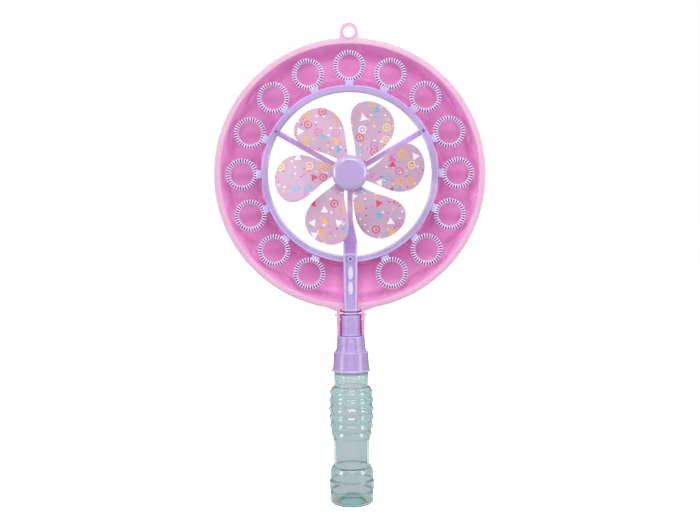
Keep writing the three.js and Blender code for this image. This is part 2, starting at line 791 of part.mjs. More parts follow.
function bladeHalfWidth(distance) {
  const { root, widest } = bladeEnds();
  if (distance > widest) {
    return (BLADE_WIDTH / 2) * Math.sqrt(1 - ((distance - widest) / BLADE_TIP_LENGTH) ** 2);
  }
  const swell = ease((distance - root) / (widest - root));
  return BLADE_ROOT_WIDTH / 2 + ((BLADE_WIDTH - BLADE_ROOT_WIDTH) / 2) * swell;
}

// Distances from the axis of the blade's rows of points: even to the widest row, then round the tip
function bladeRows() {
  const { root, widest } = bladeEnds();
  const rows = [];
  for (let step = 0; step < BLADE_ROOT_STEPS; step += 1) {
    rows.push(root + ((widest - root) * step) / BLADE_ROOT_STEPS);
  }
  for (let step = 0; step <= BLADE_TIP_STEPS; step += 1) {
    const angle = THREE.MathUtils.degToRad((BLADE_TIP_SWEEP * step) / BLADE_TIP_STEPS);
    rows.push(widest + BLADE_TIP_LENGTH * Math.sin(angle));
  }
  return rows;
}

// A point of the blade's back: flat under the cap, then leaning and pitched like a propeller
function bladePoint(distance, across) {
  const bend = ease((distance - CAP_RADIUS) / BLADE_LEAN_REACH);
  const lean = BLADE_LEAN_ROOT + (BLADE_LEAN_TIP - BLADE_LEAN_ROOT) * bend;
  const side = across * bladeHalfWidth(distance);
  const slope = Math.tan(THREE.MathUtils.degToRad(BLADE_PITCH));
  const twist = slope * side * ease((distance - CAP_RADIUS) / (bladeEnds().widest - CAP_RADIUS));
  return new THREE.Vector3(distance, bladeBack - twist, lean + side);
}

// One blade along +X: a grid of points on its back and on its front, closed round the edge
function bladeGeometry() {
  const points = [];
  const faces = [];
  const rows = bladeRows();
  const row = BLADE_ACROSS + 1;
  const layer = row * rows.length;
  for (const offset of [0, -BLADE_THICKNESS]) {
    for (const distance of rows) {
      for (let j = 0; j <= BLADE_ACROSS; j += 1) {
        const point = bladePoint(distance, (2 * j) / BLADE_ACROSS - 1);
        points.push(point.x, point.y + offset, point.z);
      }
    }
  }
  const quad = (a, b, c, d) => faces.push(a, b, c, a, c, d);
  const last = layer - row;
  for (let left = 0; left < last; left += row) {
    for (let a = left; a < left + BLADE_ACROSS; a += 1) {
      quad(a, a + 1, a + row + 1, a + row);
      quad(layer + a, layer + a + row, layer + a + row + 1, layer + a + 1);
    }
    const right = left + BLADE_ACROSS;
    quad(left, left + row, layer + left + row, layer + left);
    quad(right + row, right, layer + right, layer + right + row);
  }
  for (let j = 0; j < BLADE_ACROSS; j += 1) {
    quad(j + 1, j, layer + j, layer + j + 1);
    quad(last + j, last + j + 1, layer + last + j + 1, layer + last + j);
  }
  const geometry = new THREE.BufferGeometry();
  geometry.setAttribute("position", new THREE.Float32BufferAttribute(points, 3));
  geometry.setIndex(faces);
  geometry.computeVertexNormals();
  return geometry;
}

// A profile of constant wall: the front points, then the same path moved back by the wall
function sheetProfile(front, wall) {
  const path = front.map(([x, y]) => new THREE.Vector2(x, y));
  const normals = path.slice(1).map((point, i) => {
    const along = point.clone().sub(path[i]).normalize();
    return new THREE.Vector2(-along.y, along.x);
  });
  const back = path.map((point, i) => {
    const before = normals[Math.max(i - 1, 0)];
    const after = normals[Math.min(i, normals.length - 1)];
    const middle = before.clone().add(after).normalize();
    const shifted = point.clone().addScaledVector(middle, wall / middle.dot(after));
    return [shifted.x, shifted.y];
  });
  return [...front, ...back.reverse()];
}

function dishTurning() {
  const hole = RING_INNER_RADIUS + HOLE_MARGIN;
  const ridge = ringOuter + RIDGE_MARGIN;
  const innerFoot = ridge + INNER_WALL_LEAN;
  const front = [
    [hole, ridgeTop + SKIRT_LENGTH],
    [hole, ridgeTop],
    [ridge, ridgeTop],
    [innerFoot, troughFloor - TROUGH_FILLET],
    [innerFoot + TROUGH_FILLET, troughFloor],
    [outerFoot - TROUGH_FILLET, troughFloor],
    [outerFoot, troughFloor - TROUGH_FILLET],
    [wallTop, rimFront],
    [rimRadius, rimFront],
    [rimRadius, rimFront + RIM_LIP],
  ];
  return turnedY(sheetProfile(front, DISH_WALL), DISH_FACETS);
}

// Outline of the cradle in X and Y: straight cheeks and a round back about the stem's axis
function cradleOutline(half, front) {
  const shape = new THREE.Shape();
  shape.moveTo(-half, front);
  shape.lineTo(-half, 0);
  shape.absarc(0, 0, half, Math.PI, 0, true);
  shape.lineTo(half, front);
  return shape;
}

// The dam closes the cradle and drops into the stem's groove by its notch
function damOutline(half) {
  const notch = GROOVE_RADIUS + CLEARANCE;
  const shape = cradleOutline(half, rimFront);
  shape.lineTo(notch, rimFront);
  shape.lineTo(notch, 0);
  shape.absarc(0, 0, notch, 0, Math.PI, false);
  shape.lineTo(-notch, rimFront);
  return shape;
}

// A tab that widens towards the rim, with a raised bead round its hole
function hangTab() {
  const half = TAB_WIDTH / 2;
  const foot = half + TAB_FLARE;
  const centre = rimRadius + TAB_RISE;
  const shape = new THREE.Shape();
  shape.moveTo(-foot, rimRadius - RIM_WIDTH / 2);
  shape.lineTo(foot, rimRadius - RIM_WIDTH / 2);
  shape.lineTo(half, centre);
  shape.absarc(0, centre, half, 0, Math.PI, false);
  const back = rimFront + DISH_WALL;
  const bead = rodY(
    TAB_HOLE_RADIUS + TAB_BEAD_WIDTH,
    rimFront - TAB_BEAD_PROUD,
    rimFront + DISH_WALL / 2,
    HUB_FACETS,
  );
  const hole = rodY(TAB_HOLE_RADIUS, rimFront - OVERSHOOT, back + OVERSHOOT, HUB_FACETS);
  const tab = join(plate(shape, rimFront, back), bead.translate(0, 0, centre));
  return cut(tab, hole.translate(0, 0, centre));
}

// The space in front of the trough's outer wall, up to the middle of that wall
function troughSpace() {
  const half = DISH_WALL / 2;
  const inner = outerFoot - OUTER_WALL_LEAN;
  const foot = troughFloor - TROUGH_FILLET;
  return turnedY(
    [
      [inner, rimFront - OVERSHOOT],
      [wallTop + half, rimFront - OVERSHOOT],
      [wallTop + half, rimFront],
      [outerFoot + half, foot],
      [inner, foot],
    ],
    DISH_FACETS,
  );
}

function dishGeometry() {
  const inside = BARREL_RADIUS + CRADLE_GAP;
  const outside = inside + CRADLE_WALL;
  const bottom = barrelBase - axisHeight;
  const openingTop = -outerFoot;
  const cradle = cut(slab(cradleOutline(outside, rimFront), bottom, openingTop), troughSpace());
  const opening = slab(cradleOutline(inside, rimFront - OVERSHOOT), bottom - OVERSHOOT, openingTop);
  const damBase = grooveBase + (GROOVE_HEIGHT - DAM_THICKNESS) / 2 - axisHeight;
  const dam = slab(damOutline(inside + CRADLE_WALL / 2), damBase, damBase + DAM_THICKNESS);
  const nubInner = BARREL_RADIUS + CLEARANCE;
  const nubTop = damBase - NUB_DROP + NUB_SIZE;
  const fittings = [dam];
  for (const side of [-1, 1]) {
    const earEnds = [side * (outside - CRADLE_WALL / 2), side * (outside + EAR_REACH)];
    const nubEnds = [side * nubInner, side * (inside + CRADLE_WALL / 2)];
    earEnds.sort((a, b) => a - b);
    nubEnds.sort((a, b) => a - b);
    fittings.push(block(...earEnds, rimFront, 0, damBase - EAR_HEIGHT, damBase));
    fittings.push(block(...nubEnds, rimFront, rimFront + NUB_SIZE, nubTop - NUB_SIZE, nubTop));
  }
  return join(cut(join(dishTurning(), cradle, hangTab()), opening), ...fittings);
}

// Moves a mesh out from the windmill's axis
function moveOut(mesh, radius, angle) {
  mesh.position.set(radius * Math.cos(angle), 0, radius * Math.sin(angle));
}

function named(name, geometry, material) {
  const mesh = new THREE.Mesh(geometry, material);
  mesh.name = name;
  return mesh;
}

const toy = new THREE.Group();
toy.add(named("bottle", bottleGeometry(), teal));
toy.add(named("sealing_liner", linerGeometry(), milky));
toy.add(named("collar", collarGeometry(), lavender));
toy.add(named("stem", stemGeometry(), lavender));

// Everything round the windmill's axis
const head = new THREE.Group();
head.position.z = axisHeight;
toy.add(head);
head.add(named("dish", dishGeometry(), pink));
head.add(named("wand_ring", ringGeometry(), lavender));
head.add(named("windmill_spider", spiderGeometry(), violet));

const loop = loopGeometry();
for (let station = 1; station < LOOP_STATIONS; station += 1) {
  const angle = patternAngle(station, LOOP_STATIONS);
  const mesh = named(`bubble_loop_${String(station).padStart(2, "0")}`, loop, lavender);
  moveOut(mesh, loopPitch, angle);
  mesh.rotation.y = -angle;
  head.add(mesh);
}

for (let arm = 0; arm < SPIDER_ARMS; arm += 1) {
  const mesh = named(`spider_pin_${arm + 1}`, pinGeometry(arm === 0), lavender);
  moveOut(mesh, pinCircle, armAngle(arm));
  head.add(mesh);
}

head.add(named("axle_pin", axleGeometry(), steel));
head.add(named("spacing_washer", washerGeometry(), milky));

const windmill = new THREE.Group();
head.add(windmill);
windmill.add(named("rear_hub", rearHubGeometry(), lavender));
windmill.add(named("hub_cap", capGeometry(), lavender));
const blade = bladeGeometry();
for (let i = 0; i < BLADE_COUNT; i += 1) {
  const mesh = named(`blade_${i + 1}`, blade, blush);
  const angle = THREE.MathUtils.degToRad(BLADE_FIRST_ANGLE + (360 * i) / BLADE_COUNT);
  mesh.rotation.y = -angle;
  windmill.add(mesh);
}

export default toy;
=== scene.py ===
"""A windmill bubble toy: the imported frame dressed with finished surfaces, under soft studio light.

Sizes are in millimetres. Blender's metres come in where a piece is finished.
"""
import json
import math

import bmesh
import bpy
from mathutils import Matrix, Vector


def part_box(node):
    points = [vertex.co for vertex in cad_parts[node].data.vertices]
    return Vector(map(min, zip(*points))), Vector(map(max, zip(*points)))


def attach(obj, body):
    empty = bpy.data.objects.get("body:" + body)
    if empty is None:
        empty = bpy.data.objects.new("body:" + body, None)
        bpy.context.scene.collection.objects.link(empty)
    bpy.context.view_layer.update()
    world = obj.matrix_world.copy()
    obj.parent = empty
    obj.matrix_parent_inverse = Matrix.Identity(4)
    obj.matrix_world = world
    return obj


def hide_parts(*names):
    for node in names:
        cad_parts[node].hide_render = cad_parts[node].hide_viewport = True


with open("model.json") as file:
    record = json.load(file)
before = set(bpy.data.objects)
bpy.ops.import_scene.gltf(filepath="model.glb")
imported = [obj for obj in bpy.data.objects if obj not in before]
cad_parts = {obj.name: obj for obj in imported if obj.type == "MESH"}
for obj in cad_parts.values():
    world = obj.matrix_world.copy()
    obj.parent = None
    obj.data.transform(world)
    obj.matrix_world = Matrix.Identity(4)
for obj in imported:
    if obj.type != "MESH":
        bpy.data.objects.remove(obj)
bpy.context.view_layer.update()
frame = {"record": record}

MM = 0.001
CLEARANCE = 0.3
OVERSHOOT = 1.0
ON_AXIS = 1e-6
SHARP_ANGLE = math.radians(38)

bodies = frame["record"]["behaviour"]["bodies"]
BODY_OF = {node: body for body, nodes in bodies.items() for node in nodes}


def box_of(node):
    """Lowest and highest corner of a CAD node, in millimetres."""
    low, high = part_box(node)
    return Vector(low) / MM, Vector(high) / MM


# Places that come from the frame
ring_low, ring_high = box_of("wand_ring")
dish_low, dish_high = box_of("dish")
bottle_high = box_of("bottle")[1]
collar_low, collar_high = box_of("collar")
stem_low, stem_high = box_of("stem")
spider_low, spider_high = box_of("windmill_spider")
cap_low, cap_high = box_of("hub_cap")
rear_low, rear_high = box_of("rear_hub")
axle_low, axle_high = box_of("axle_pin")
washer_low, washer_high = box_of("spacing_washer")
liner_low, liner_high = box_of("sealing_liner")
top_loop_high = box_of("bubble_loop_08")[1]

AXIS_Z = (ring_low.z + ring_high.z) / 2
RING_OUTER = ring_high.x
RING_WIDTH = 5.0
RING_INNER = RING_OUTER - RING_WIDTH
RING_LIP = 0.4
RING_FRONT = ring_low.y + RING_LIP
RING_BACK = ring_high.y
RIM_RADIUS = dish_high.x
RIM_RISE = 0.6
RIM_FRONT = RING_FRONT - RIM_RISE
DISH_BACK = dish_high.y

# Dish
DISH_WALL = 1.4
RIM_WIDTH = 4.8
RIM_LIP = 2.6
HOLE_MARGIN = 1.8
OUTER_WALL_LEAN = 6.66
INNER_WALL_LEAN = 3.5
RIDGE_MARGIN = 1.6
SKIRT_LENGTH = 11.7
FLOOR_FILLET = 6.0
EDGE_FILLET = 0.5
HOLE_FILLET = 1.6
RIDGE_FILLET = 1.4
WALL_TOP_FILLET = 1.2
RIM_FILLET = 1.0
TAB_WIDTH = 15.0
TAB_FLARE = 0.6
TAB_HOLE_RADIUS = 4.9
TAB_BEAD_WIDTH = 1.0
TAB_BEAD_PROUD = 0.4
CRADLE_GAP = 1.1
CRADLE_WALL = 2.6
GUSSET_REACH = 18.0
GUSSET_DROP = 2.2
GUSSET_SETBACK = 0.1
DAM_THICKNESS = 1.4
EAR_REACH = 1.8
EAR_HEIGHT = 1.4
NUB_SIZE = 1.2
NUB_DROP = 5.2
DISH_SEGMENTS = 192

# Stem
BARREL_RADIUS = 8.1
BARREL_FOOT = 0.55
BARREL_FOOT_TOP = 1.65
GROOVE_RADIUS = 5.6
GROOVE_HEIGHT = 3.9
KEY_THICKNESS = 1.0
KEY_REACH = 1.2
FLANGE_RADIUS = 8.35
FLANGE_THICKNESS = 1.4
BARREL_HEIGHT = 17.1
BAR_WIDTH = 11.8
BAR_TAPER = 0.5
BAR_FRONT = 2.6
BAR_RAIL = 1.7
BAR_CHANNEL = 1.0
HEAD_ARCH = 1.6
HEAD_ARCH_POWER = 0.7
BOSS_RADIUS = 2.4
PAD_LENGTH = 11.0
PAD_WIDTH = 4.2
PAD_PROUD = 0.5
PAD_PITCH = 13.0
PAD_COUNT = 2

# Ring, loops and spider
RING_FACE = 1.8
RING_WALL = 1.2
RING_LIP_WIDTH = 0.8
RING_CHAMFER = 0.9
LOOP_STATIONS = 16
LOOP_OUTER = 13.9
LOOP_INNER = 9.4
LOOP_DEPTH = 5.2
LOOP_TEETH = 34
TOOTH_WIDTH = 0.9
TOOTH_ROUND = 0.25
TOOTH_MARGIN = 0.02
TOOTH_STEPS = 20
CORE_OUTER = 12.8
CORE_INNER = 10.6
CORE_DEPTH = 4.0
STUB_LENGTH = 2.8
STUB_WIDTH = 6.9
STUB_SETBACK = 0.6
STUB_ROUND = 0.35
ARM_COUNT = 3
ARM_WIDTH = 4.4
TONGUE_WIDTH = 3.4
TONGUE_THICKNESS = 2.4
FOOT_LENGTH = 11.0
FOOT_FLARE = 19.0
FOOT_FILLET = 30.0
FOOT_CHANNEL = 0.7
BLOCK_LENGTH = 6.0
SPIDER_DEPTH = 4.0
SPIDER_HUB_RADIUS = 8.0
SPIDER_BOSS_RADIUS = 5.0
PIN_RADIUS = 0.8
PIN_HEAD_RADIUS = 1.3
PIN_HEAD_HEIGHT = 0.5
PIN_CROWN_RADIUS = 1.105
PIN_DIMPLE_RADIUS = 0.78
PIN_DIMPLE_FLOOR = 0.455
PIN_DIMPLE_DEPTH = 0.35
AXLE_RADIUS = 1.6
AXLE_HEAD_HEIGHT = 1.4
AXLE_TAIL_ROUND = 0.7

# Windmill
BLADE_COUNT = 6
BLADE_THICKNESS = 0.8
BLADE_ROOT = 7.0
BLADE_TIP = 62.8
BLADE_ROOT_WIDTH = 6.6
BLADE_WIDTH = 39.2
BLADE_TIP_LENGTH = 16.3
BLADE_LEAN_ROOT = -2.4
BLADE_LEAN_TIP = 3.4
BLADE_LEAN_REACH = 41.0
BLADE_FIRST_ANGLE = math.radians(62)
BLADE_PITCH = math.radians(14)
BLADE_TIP_SWEEP = math.radians(86)
BLADE_ROWS = 48
BLADE_COLUMNS = 16
CAP_EDGE = 5.0
CAP_EDGE_SHARE = 0.55
CAP_EDGE_STEPS = 12
CAP_WALL = 1.8
CAP_ROOF_FILLET = 1.8
REAR_SLEEVE_RADIUS = 4.5
REAR_PLATE_THICKNESS = 1.4
REAR_SPIGOT_LENGTH = 2.7
SOCKET_WALL = 1.4

# Collar and bottle
COLLAR_WALL = 2.0
COLLAR_LIP = 0.95
COLLAR_LIP_HEIGHT = 1.4
COLLAR_EDGE = 0.5
COLLAR_LIP_FILLET = 0.7
COLLAR_STEP_FILLET = 0.8
COLLAR_NECK_FILLET = 6.0
SKIRT_TAPER = 1.0
SKIRT_HEIGHT = 16.6
COLLAR_NECK_RADIUS = 12.25
COLLAR_NECK_TAPER = 0.5
COLLAR_NECK_FLARE = 1.0
COLLAR_NECK_FLARE_HEIGHT = 3.6
COLLAR_PAD_WIDTH = 5.0
COLLAR_PAD_HEIGHT = 10.0
COLLAR_PAD_PROUD = 0.8
COLLAR_PAD_EDGE = 0.6
COLLAR_PAD_REACH = 0.3
PAD_FACE_NORMAL = 0.97
PAD_EDGE_TILT = 0.25
BOTTLE_WALL = 1.2
BASE_RADIUS = 18.2
BASE_HEIGHT = 10.4
HEEL_RADIUS = 2.4
PUSH_UP_RADIUS = 11.2
PUSH_UP_TOP_RADIUS = 6.2
PUSH_UP_HEIGHT = 5.0
PUSH_UP_FILLET = 2.5
PUSH_UP_INNER_FILLET = 2.0
PUSH_UP_EDGE_FILLET = 0.8
BAND_RADIUS = 18.7
BAND_HEIGHT = 9.6
BAND_GROOVE = 0.9
BAND_FILLET = 0.8
HIP_HEIGHT = 11.3
HIP_STRAIGHT = 3.8
HIP_STEPS = 10
WAIST_RADIUS = 15.4
WAIST_HEIGHT = 22.7
FLUTE_COUNT = 8
FLUTE_DEPTH = 0.7
FLUTE_INSET = 2.8
FLUTE_ROWS = 10
RIB_COUNT = 6
FULLEST_RIB = 4
RIB_PITCH = 7.2
RIB_DEPTH = 1.3
GRIP_SWELL = 1.8
SHOULDER_HEIGHT = 1.4
NECK_RADIUS = 14.5
NECK_HEIGHT = 12.4
NECK_FILLET = 1.0
FINISH_RADIUS = 11.9
FINISH_WALL = 2.0
BOTTLE_SEGMENTS = 128
RIB_STEPS = 12
VALLEY_SHARE = 0.05

# Round surfaces and edges
SEGMENTS = 96
FINE_SEGMENTS = 32
FILLET_STEPS = 6
LONGEST_FILLET = 0.49
BEVEL_STEPS = 2
FULL_BEVEL_STEPS = 3
ROUND_PROFILE = 0.5
HAIR_ROUND = 0.1
SLIGHT_ROUND = 0.15
FINE_ROUND = 0.2
EDGE_ROUND = 0.3
SOFT_ROUND = 0.4
FULL_ROUND = 0.5
BROAD_ROUND = 0.6

# Limits of painted areas
PAINT_MARGIN = 0.1
FINE_MARGIN = 0.05
LIP_BAND = 0.6
RAIL_BAND = 0.45

# Places worked out from the sizes
WALL_TOP = RIM_RADIUS - RIM_WIDTH
CRADLE_INSIDE = BARREL_RADIUS + CRADLE_GAP
DAM_BASE = dish_low.z + BARREL_HEIGHT + (GROOVE_HEIGHT - DAM_THICKNESS) / 2
BARREL_BASE = collar_high.z + CLEARANCE
GROOVE_BASE = BARREL_BASE + BARREL_HEIGHT
FLANGE_BASE = GROOVE_BASE + GROOVE_HEIGHT
FLANGE_TOP = FLANGE_BASE + FLANGE_THICKNESS
BAR_FACE = RING_FRONT - BAR_FRONT
CHANNEL_FLOOR = BAR_FACE + BAR_CHANNEL
PIN_CIRCLE = RING_INNER + RING_WIDTH / 2 - CLEARANCE
SPIDER_FRONT = spider_high.y - SPIDER_DEPTH
AXLE_BORE = AXLE_RADIUS + CLEARANCE
BLADE_WIDEST = BLADE_TIP - BLADE_TIP_LENGTH
COLLAR_STEP = collar_low.z + SKIRT_HEIGHT
HIP_BASE = BASE_HEIGHT + BAND_HEIGHT
WAIST_BASE = HIP_BASE + HIP_HEIGHT
RIBS_BASE = WAIST_BASE + WAIST_HEIGHT
NECK_BASE = RIBS_BASE + RIB_COUNT * RIB_PITCH + SHOULDER_HEIGHT
NECK_TOP = NECK_BASE + NECK_HEIGHT

# Surface finish: noise scales are per metre, depths are metres
MIX_FACTOR = 0
MIX_LOW = 6
MIX_HIGH = 7
MIX_RESULT = 2
NOISE_LOW = 0.3
NOISE_HIGH = 0.7
NOISE_DETAIL = 3.0
GRAIN_DETAIL = 2.0
PLASTIC_DRIFT = 22.0
PLASTIC_GLOSS = 160.0
GLOSS_BELOW = 0.05
GLOSS_ABOVE = 0.06
PLASTIC_GRAIN = 1400.0
GRAIN_STRENGTH = 0.06
GRAIN_DEPTH = 0.0002
PLASTIC_IOR = 1.49
GLOW_RADIUS = (0.003, 0.002, 0.003)
CRADLE_GLOW_RADIUS = (0.02, 0.008, 0.014)
POLISH_ROUGHNESS = 0.06
BOTTLE_GLOSS = 90.0
BOTTLE_ROUGHNESS = (0.03, 0.1)
BOTTLE_WAVES = 160.0
BOTTLE_WAVE_STRENGTH = 0.006
BOTTLE_WAVE_DEPTH = 0.0004
BOTTLE_IOR = 1.46
BOTTLE_EDGE_BLEND = 0.4
STEEL_DRIFT = 300.0
STEEL_GLOSS = 800.0
STEEL_ROUGHNESS = (0.2, 0.34)

# Printed sheet of the blades: its finish, then the confetti's cells, sizes and chances
SHEET_DRIFT = 40.0
SHEET_GLOSS = 120.0
SHEET_ROUGHNESS = (0.26, 0.36)
SHEET_WAVES = 60.0
SHEET_WAVE_DETAIL = 1.0
SHEET_WAVE_STRENGTH = 0.05
SHEET_WAVE_DEPTH = 0.001
SHEET_SPECULAR = 0.22
SHEET_COAT = 0.05
SHEET_COAT_ROUGHNESS = 0.08
CONFETTI_COLOURS = [
    (112, 180, 212), (212, 84, 112), (240, 218, 128),
    (238, 178, 96), (238, 232, 240), (206, 118, 180),
]
SMALL_CELL = 5.4
SMALL_SPREAD = 1.0
SMALL_SHIFT = (3.7, 1.3, 0.0)
DOT_RADIUS = 0.8
PLUS_LENGTH = 2.4
PLUS_WIDTH = 0.7
LARGE_CELL = 11.0
LARGE_SPREAD = 0.85
LARGE_SHIFT = (0.4, 8.2, 0.0)
CIRCLE_RADIUS = 2.9
CIRCLE_LINE = 1.0
TRIANGLE_INRADIUS = 1.9
DOT_CHANCE = 0.55
CIRCLE_CHANCE = 0.45
MOTIF_CHANCE = 0.8

# Camera: level with the upper part of the toy, a long way off
CAMERA_PLACE = (-0.0001, -0.807, 0.2418)
CAMERA_ROLL = math.radians(0.40)
CAMERA_LENS = 48.86
CAMERA_SENSOR = 36.0
CAMERA_SHIFT = -0.065

# Lights: place, width, height and power. The fills aren't mirrored in the plastic.
LIGHT_AIM = (0.0, 0.0, 0.26)
SOFTBOXES = {
    "left_box": ((-1.06, -0.56, 0.36), 0.38, 0.6, 5.6),
    "right_box": ((1.06, -0.56, 0.36), 0.38, 0.6, 5.6),
    "top_box": ((0.0, -1.0, 0.9), 0.8, 0.3, 5.0),
}
FILLS = {
    "front_fill": ((0.0, -1.3, 0.36), 0.5, 0.5, 3.0),
    "over_fill": ((0.0, -0.45, 1.2), 0.8, 0.4, 2.6),
    "back_fill": ((0.0, 1.3, 0.6), 0.8, 0.6, 10.0),
}
AMBIENT_LIGHT = 0.26
BACKDROP_LIGHT = 1.0
FLOOR_RADIUS = 4.0
FLOOR_DRIFT = 3.0
FLOOR_ROUGHNESS = 0.9
FLOOR_GLOW = 0.85


def lathe(profile, segments):
    """A turned solid about Z from (radius, height) points that end on the axis or close on themselves."""
    bm = bmesh.new()
    rings = []
    for radius, height in profile:
        if radius < ON_AXIS:
            rings.append([bm.verts.new((0, 0, height))])
            continue
        angles = [2 * math.pi * i / segments for i in range(segments)]
        ring = [bm.verts.new((radius * math.cos(a), radius * math.sin(a), height)) for a in angles]
        rings.append(ring)
    pairs = list(zip(rings, rings[1:]))
    if len(rings[0]) > 1:
        pairs.append((rings[-1], rings[0]))
    for low, high in pairs:
        for i in range(segments):
            j = (i + 1) % segments
            corners = [low[i % len(low)], low[j % len(low)], high[j % len(high)], high[i % len(high)]]
            face = list(dict.fromkeys(corners))
            if len(face) > 2:
                bm.faces.new(face)
    bmesh.ops.recalc_face_normals(bm, faces=bm.faces)
    return bm


def about_y(bm):
    """Turns a form from the Z axis to the windmill's axis, with heights along Y."""
    bm.transform(Matrix.Translation((0, 0, AXIS_Z)) @ Matrix.Rotation(-math.pi / 2, 4, "X"))
    return bm


def rounded(outline):
    """A closed outline whose corners are rounded to their third value, where they have one."""
    points = []
    for i, corner in enumerate(outline):
        here = Vector(corner[:2])
        if len(corner) < 3:
            points.append(tuple(here))
            continue
        before = Vector(outline[i - 1][:2]) - here
        after = Vector(outline[(i + 1) % len(outline)][:2]) - here
        half = before.angle(after) / 2
        longest = LONGEST_FILLET * min(before.length, after.length)
        reach = min(corner[2] / math.tan(half), longest)
        centre = here + (before.normalized() + after.normalized()).normalized() * (reach / math.cos(half))
        start = here + before.normalized() * reach - centre
        end = here + after.normalized() * reach - centre
        for step in range(FILLET_STEPS + 1):
            points.append(tuple(centre + start.slerp(end, step / FILLET_STEPS) * start.length))
    return points


def turned_on_axis(profile, segments=SEGMENTS):
    """A turned solid about the windmill's axis, from corners that are rounded where they say so."""
    return about_y(lathe(rounded(profile), segments))


def prism(outline, low, high):
    """An outline in X and Y with a height along Z."""
    bm = bmesh.new()
    bottom = [bm.verts.new((x, y, low)) for x, y in outline]
    top = [bm.verts.new((x, y, high)) for x, y in outline]
    bm.faces.new(bottom)
    bm.faces.new(top)
    for i in range(len(outline)):
        bm.faces.new((bottom[i - 1], bottom[i], top[i], top[i - 1]))
    bmesh.ops.recalc_face_normals(bm, faces=bm.faces)
    return bm


def plate(outline, front, back):
    """An outline in X and Z with a thickness along Y, from front to back."""
    bm = prism(outline, -back, -front)
    bm.transform(Matrix.Rotation(math.pi / 2, 4, "X"))
    return bm


def block(x0, x1, y0, y1, z0, z1):
    return prism([(x0, y0), (x1, y0), (x1, y1), (x0, y1)], z0, z1)


def rod(radius, front, back, height, segments=SEGMENTS):
    """A round rod along Y, in the middle of the toy and at a height."""
    profile = [(0.0, front), (radius, front), (radius, back), (0.0, back)]
    return lifted(about_y(lathe(profile, segments)), z=height - AXIS_Z)


def ellipse(x, y, half_x, half_y, steps):
    angles = [2 * math.pi * i / steps for i in range(steps)]
    return [(x + half_x * math.cos(a), y + half_y * math.sin(a)) for a in angles]


def from_axis(point):
    """Distance from the windmill's axis."""
    return math.hypot(point.x, point.z - AXIS_Z)


def paint(bm, materials, rule):
    """Gives each face the one of the materials that the rule picks for it."""
    bm.normal_update()
    for face in bm.faces:
        face.material_index = materials.index(rule(face))


def softened(bm, width, steps=BEVEL_STEPS):
    """Rounds the sharp edges of a form."""
    edges = [e for e in bm.edges if e.is_manifold and e.calc_face_angle() > SHARP_ANGLE]
    bmesh.ops.bevel(
        bm, geom=edges, offset=width, segments=steps, profile=ROUND_PROFILE, affect="EDGES",
        clamp_overlap=True,
    )
    return bm


def turned_about_y(bm, angle):
    """Turns a form round the Y axis, anticlockwise seen from the front."""
    bm.transform(Matrix.Rotation(-angle, 4, "Y"))
    return bm


def lifted(bm, x=0.0, y=0.0, z=0.0):
    bm.transform(Matrix.Translation((x, y, z)))
    return bm


def mesh_from(name, bm):
    mesh = bpy.data.meshes.new(name)
    bm.to_mesh(mesh)
    bm.free()
    return mesh


def placed(name, data):
    """A new object in the scene."""
    made = bpy.data.objects.new(name, data)
    bpy.context.scene.collection.objects.link(made)
    return made


def scratch_object(bm):
    return placed("scratch", mesh_from("scratch", bm))


def combined(base, others, operation):
    """Joins or cuts forms and gives the result as one form."""
    main = scratch_object(base)
    tools = [scratch_object(other) for other in others]
    for tool in tools:
        change = main.modifiers.new("change", "BOOLEAN")
        change.operation = operation
        change.solver = "MANIFOLD"
        change.object = tool
    graph = bpy.context.evaluated_depsgraph_get()
    result = bmesh.new()
    result.from_object(main, graph)
    for used in [main, *tools]:
        mesh = used.data
        bpy.data.objects.remove(used)
        bpy.data.meshes.remove(mesh)
    return result


def join(base, *others):
    return combined(base, others, "UNION")


def cut(base, *others):
    return combined(base, others, "DIFFERENCE")


def dress(node, bm, *materials):
    """The finished piece that stands for a CAD node, on that node's body."""
    name = f"{node}_dressed"
    mesh = mesh_from(name, bm)
    mesh.transform(Matrix.Scale(MM, 4))
    for material in materials:
        mesh.materials.append(material)
    mesh.polygons.foreach_set("use_smooth", [True] * len(mesh.polygons))
    mesh.set_sharp_from_angle(angle=SHARP_ANGLE)
    piece = placed(name, mesh)
    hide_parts(node)
    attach(piece, BODY_OF[node])


def dress_painted(node, bm, rule, *materials):
    paint(bm, materials, rule)
    dress(node, bm, *materials)


def srgb(red, green, blue):
    """A colour given in 0 to 255 as the eye sees it, for a shader."""
    def linear(value):
        share = value / 255
        return share / 12.92 if share <= 0.04045 else ((share + 0.055) / 1.055) ** 2.4

    return (linear(red), linear(green), linear(blue), 1.0)


def ease(value):
    """From 0 to 1 along a half cosine, and flat outside."""
    return (1 - math.cos(math.pi * min(max(value, 0), 1))) / 2


# Materials


def new_material(name):
    material = bpy.data.materials.new(name)
    material.use_nodes = True
    tree = material.node_tree
    return material, tree, tree.nodes["Principled BSDF"]


def noise(tree, scale, detail=NOISE_DETAIL):
    """Noise over the object's own coordinates, which are metres."""
    place = tree.nodes.new("ShaderNodeTexCoord")
    texture = tree.nodes.new("ShaderNodeTexNoise")
    texture.inputs["Scale"].default_value = scale
    texture.inputs["Detail"].default_value = detail
    tree.links.new(place.outputs["Object"], texture.inputs["Vector"])
    return texture.outputs["Fac"]


def feed(tree, socket, value):
    """Links a socket to another one, or sets its own value."""
    if isinstance(value, bpy.types.NodeSocket):
        tree.links.new(value, socket)
    else:
        socket.default_value = value


def mixed_colour(tree, factor, low, high):
    """A mix of two colours. The node's sockets go by number, because their names repeat."""
    mix = tree.nodes.new("ShaderNodeMix")
    mix.data_type = "RGBA"
    for number, value in ((MIX_FACTOR, factor), (MIX_LOW, low), (MIX_HIGH, high)):
        feed(tree, mix.inputs[number], value)
    return mix.outputs[MIX_RESULT]


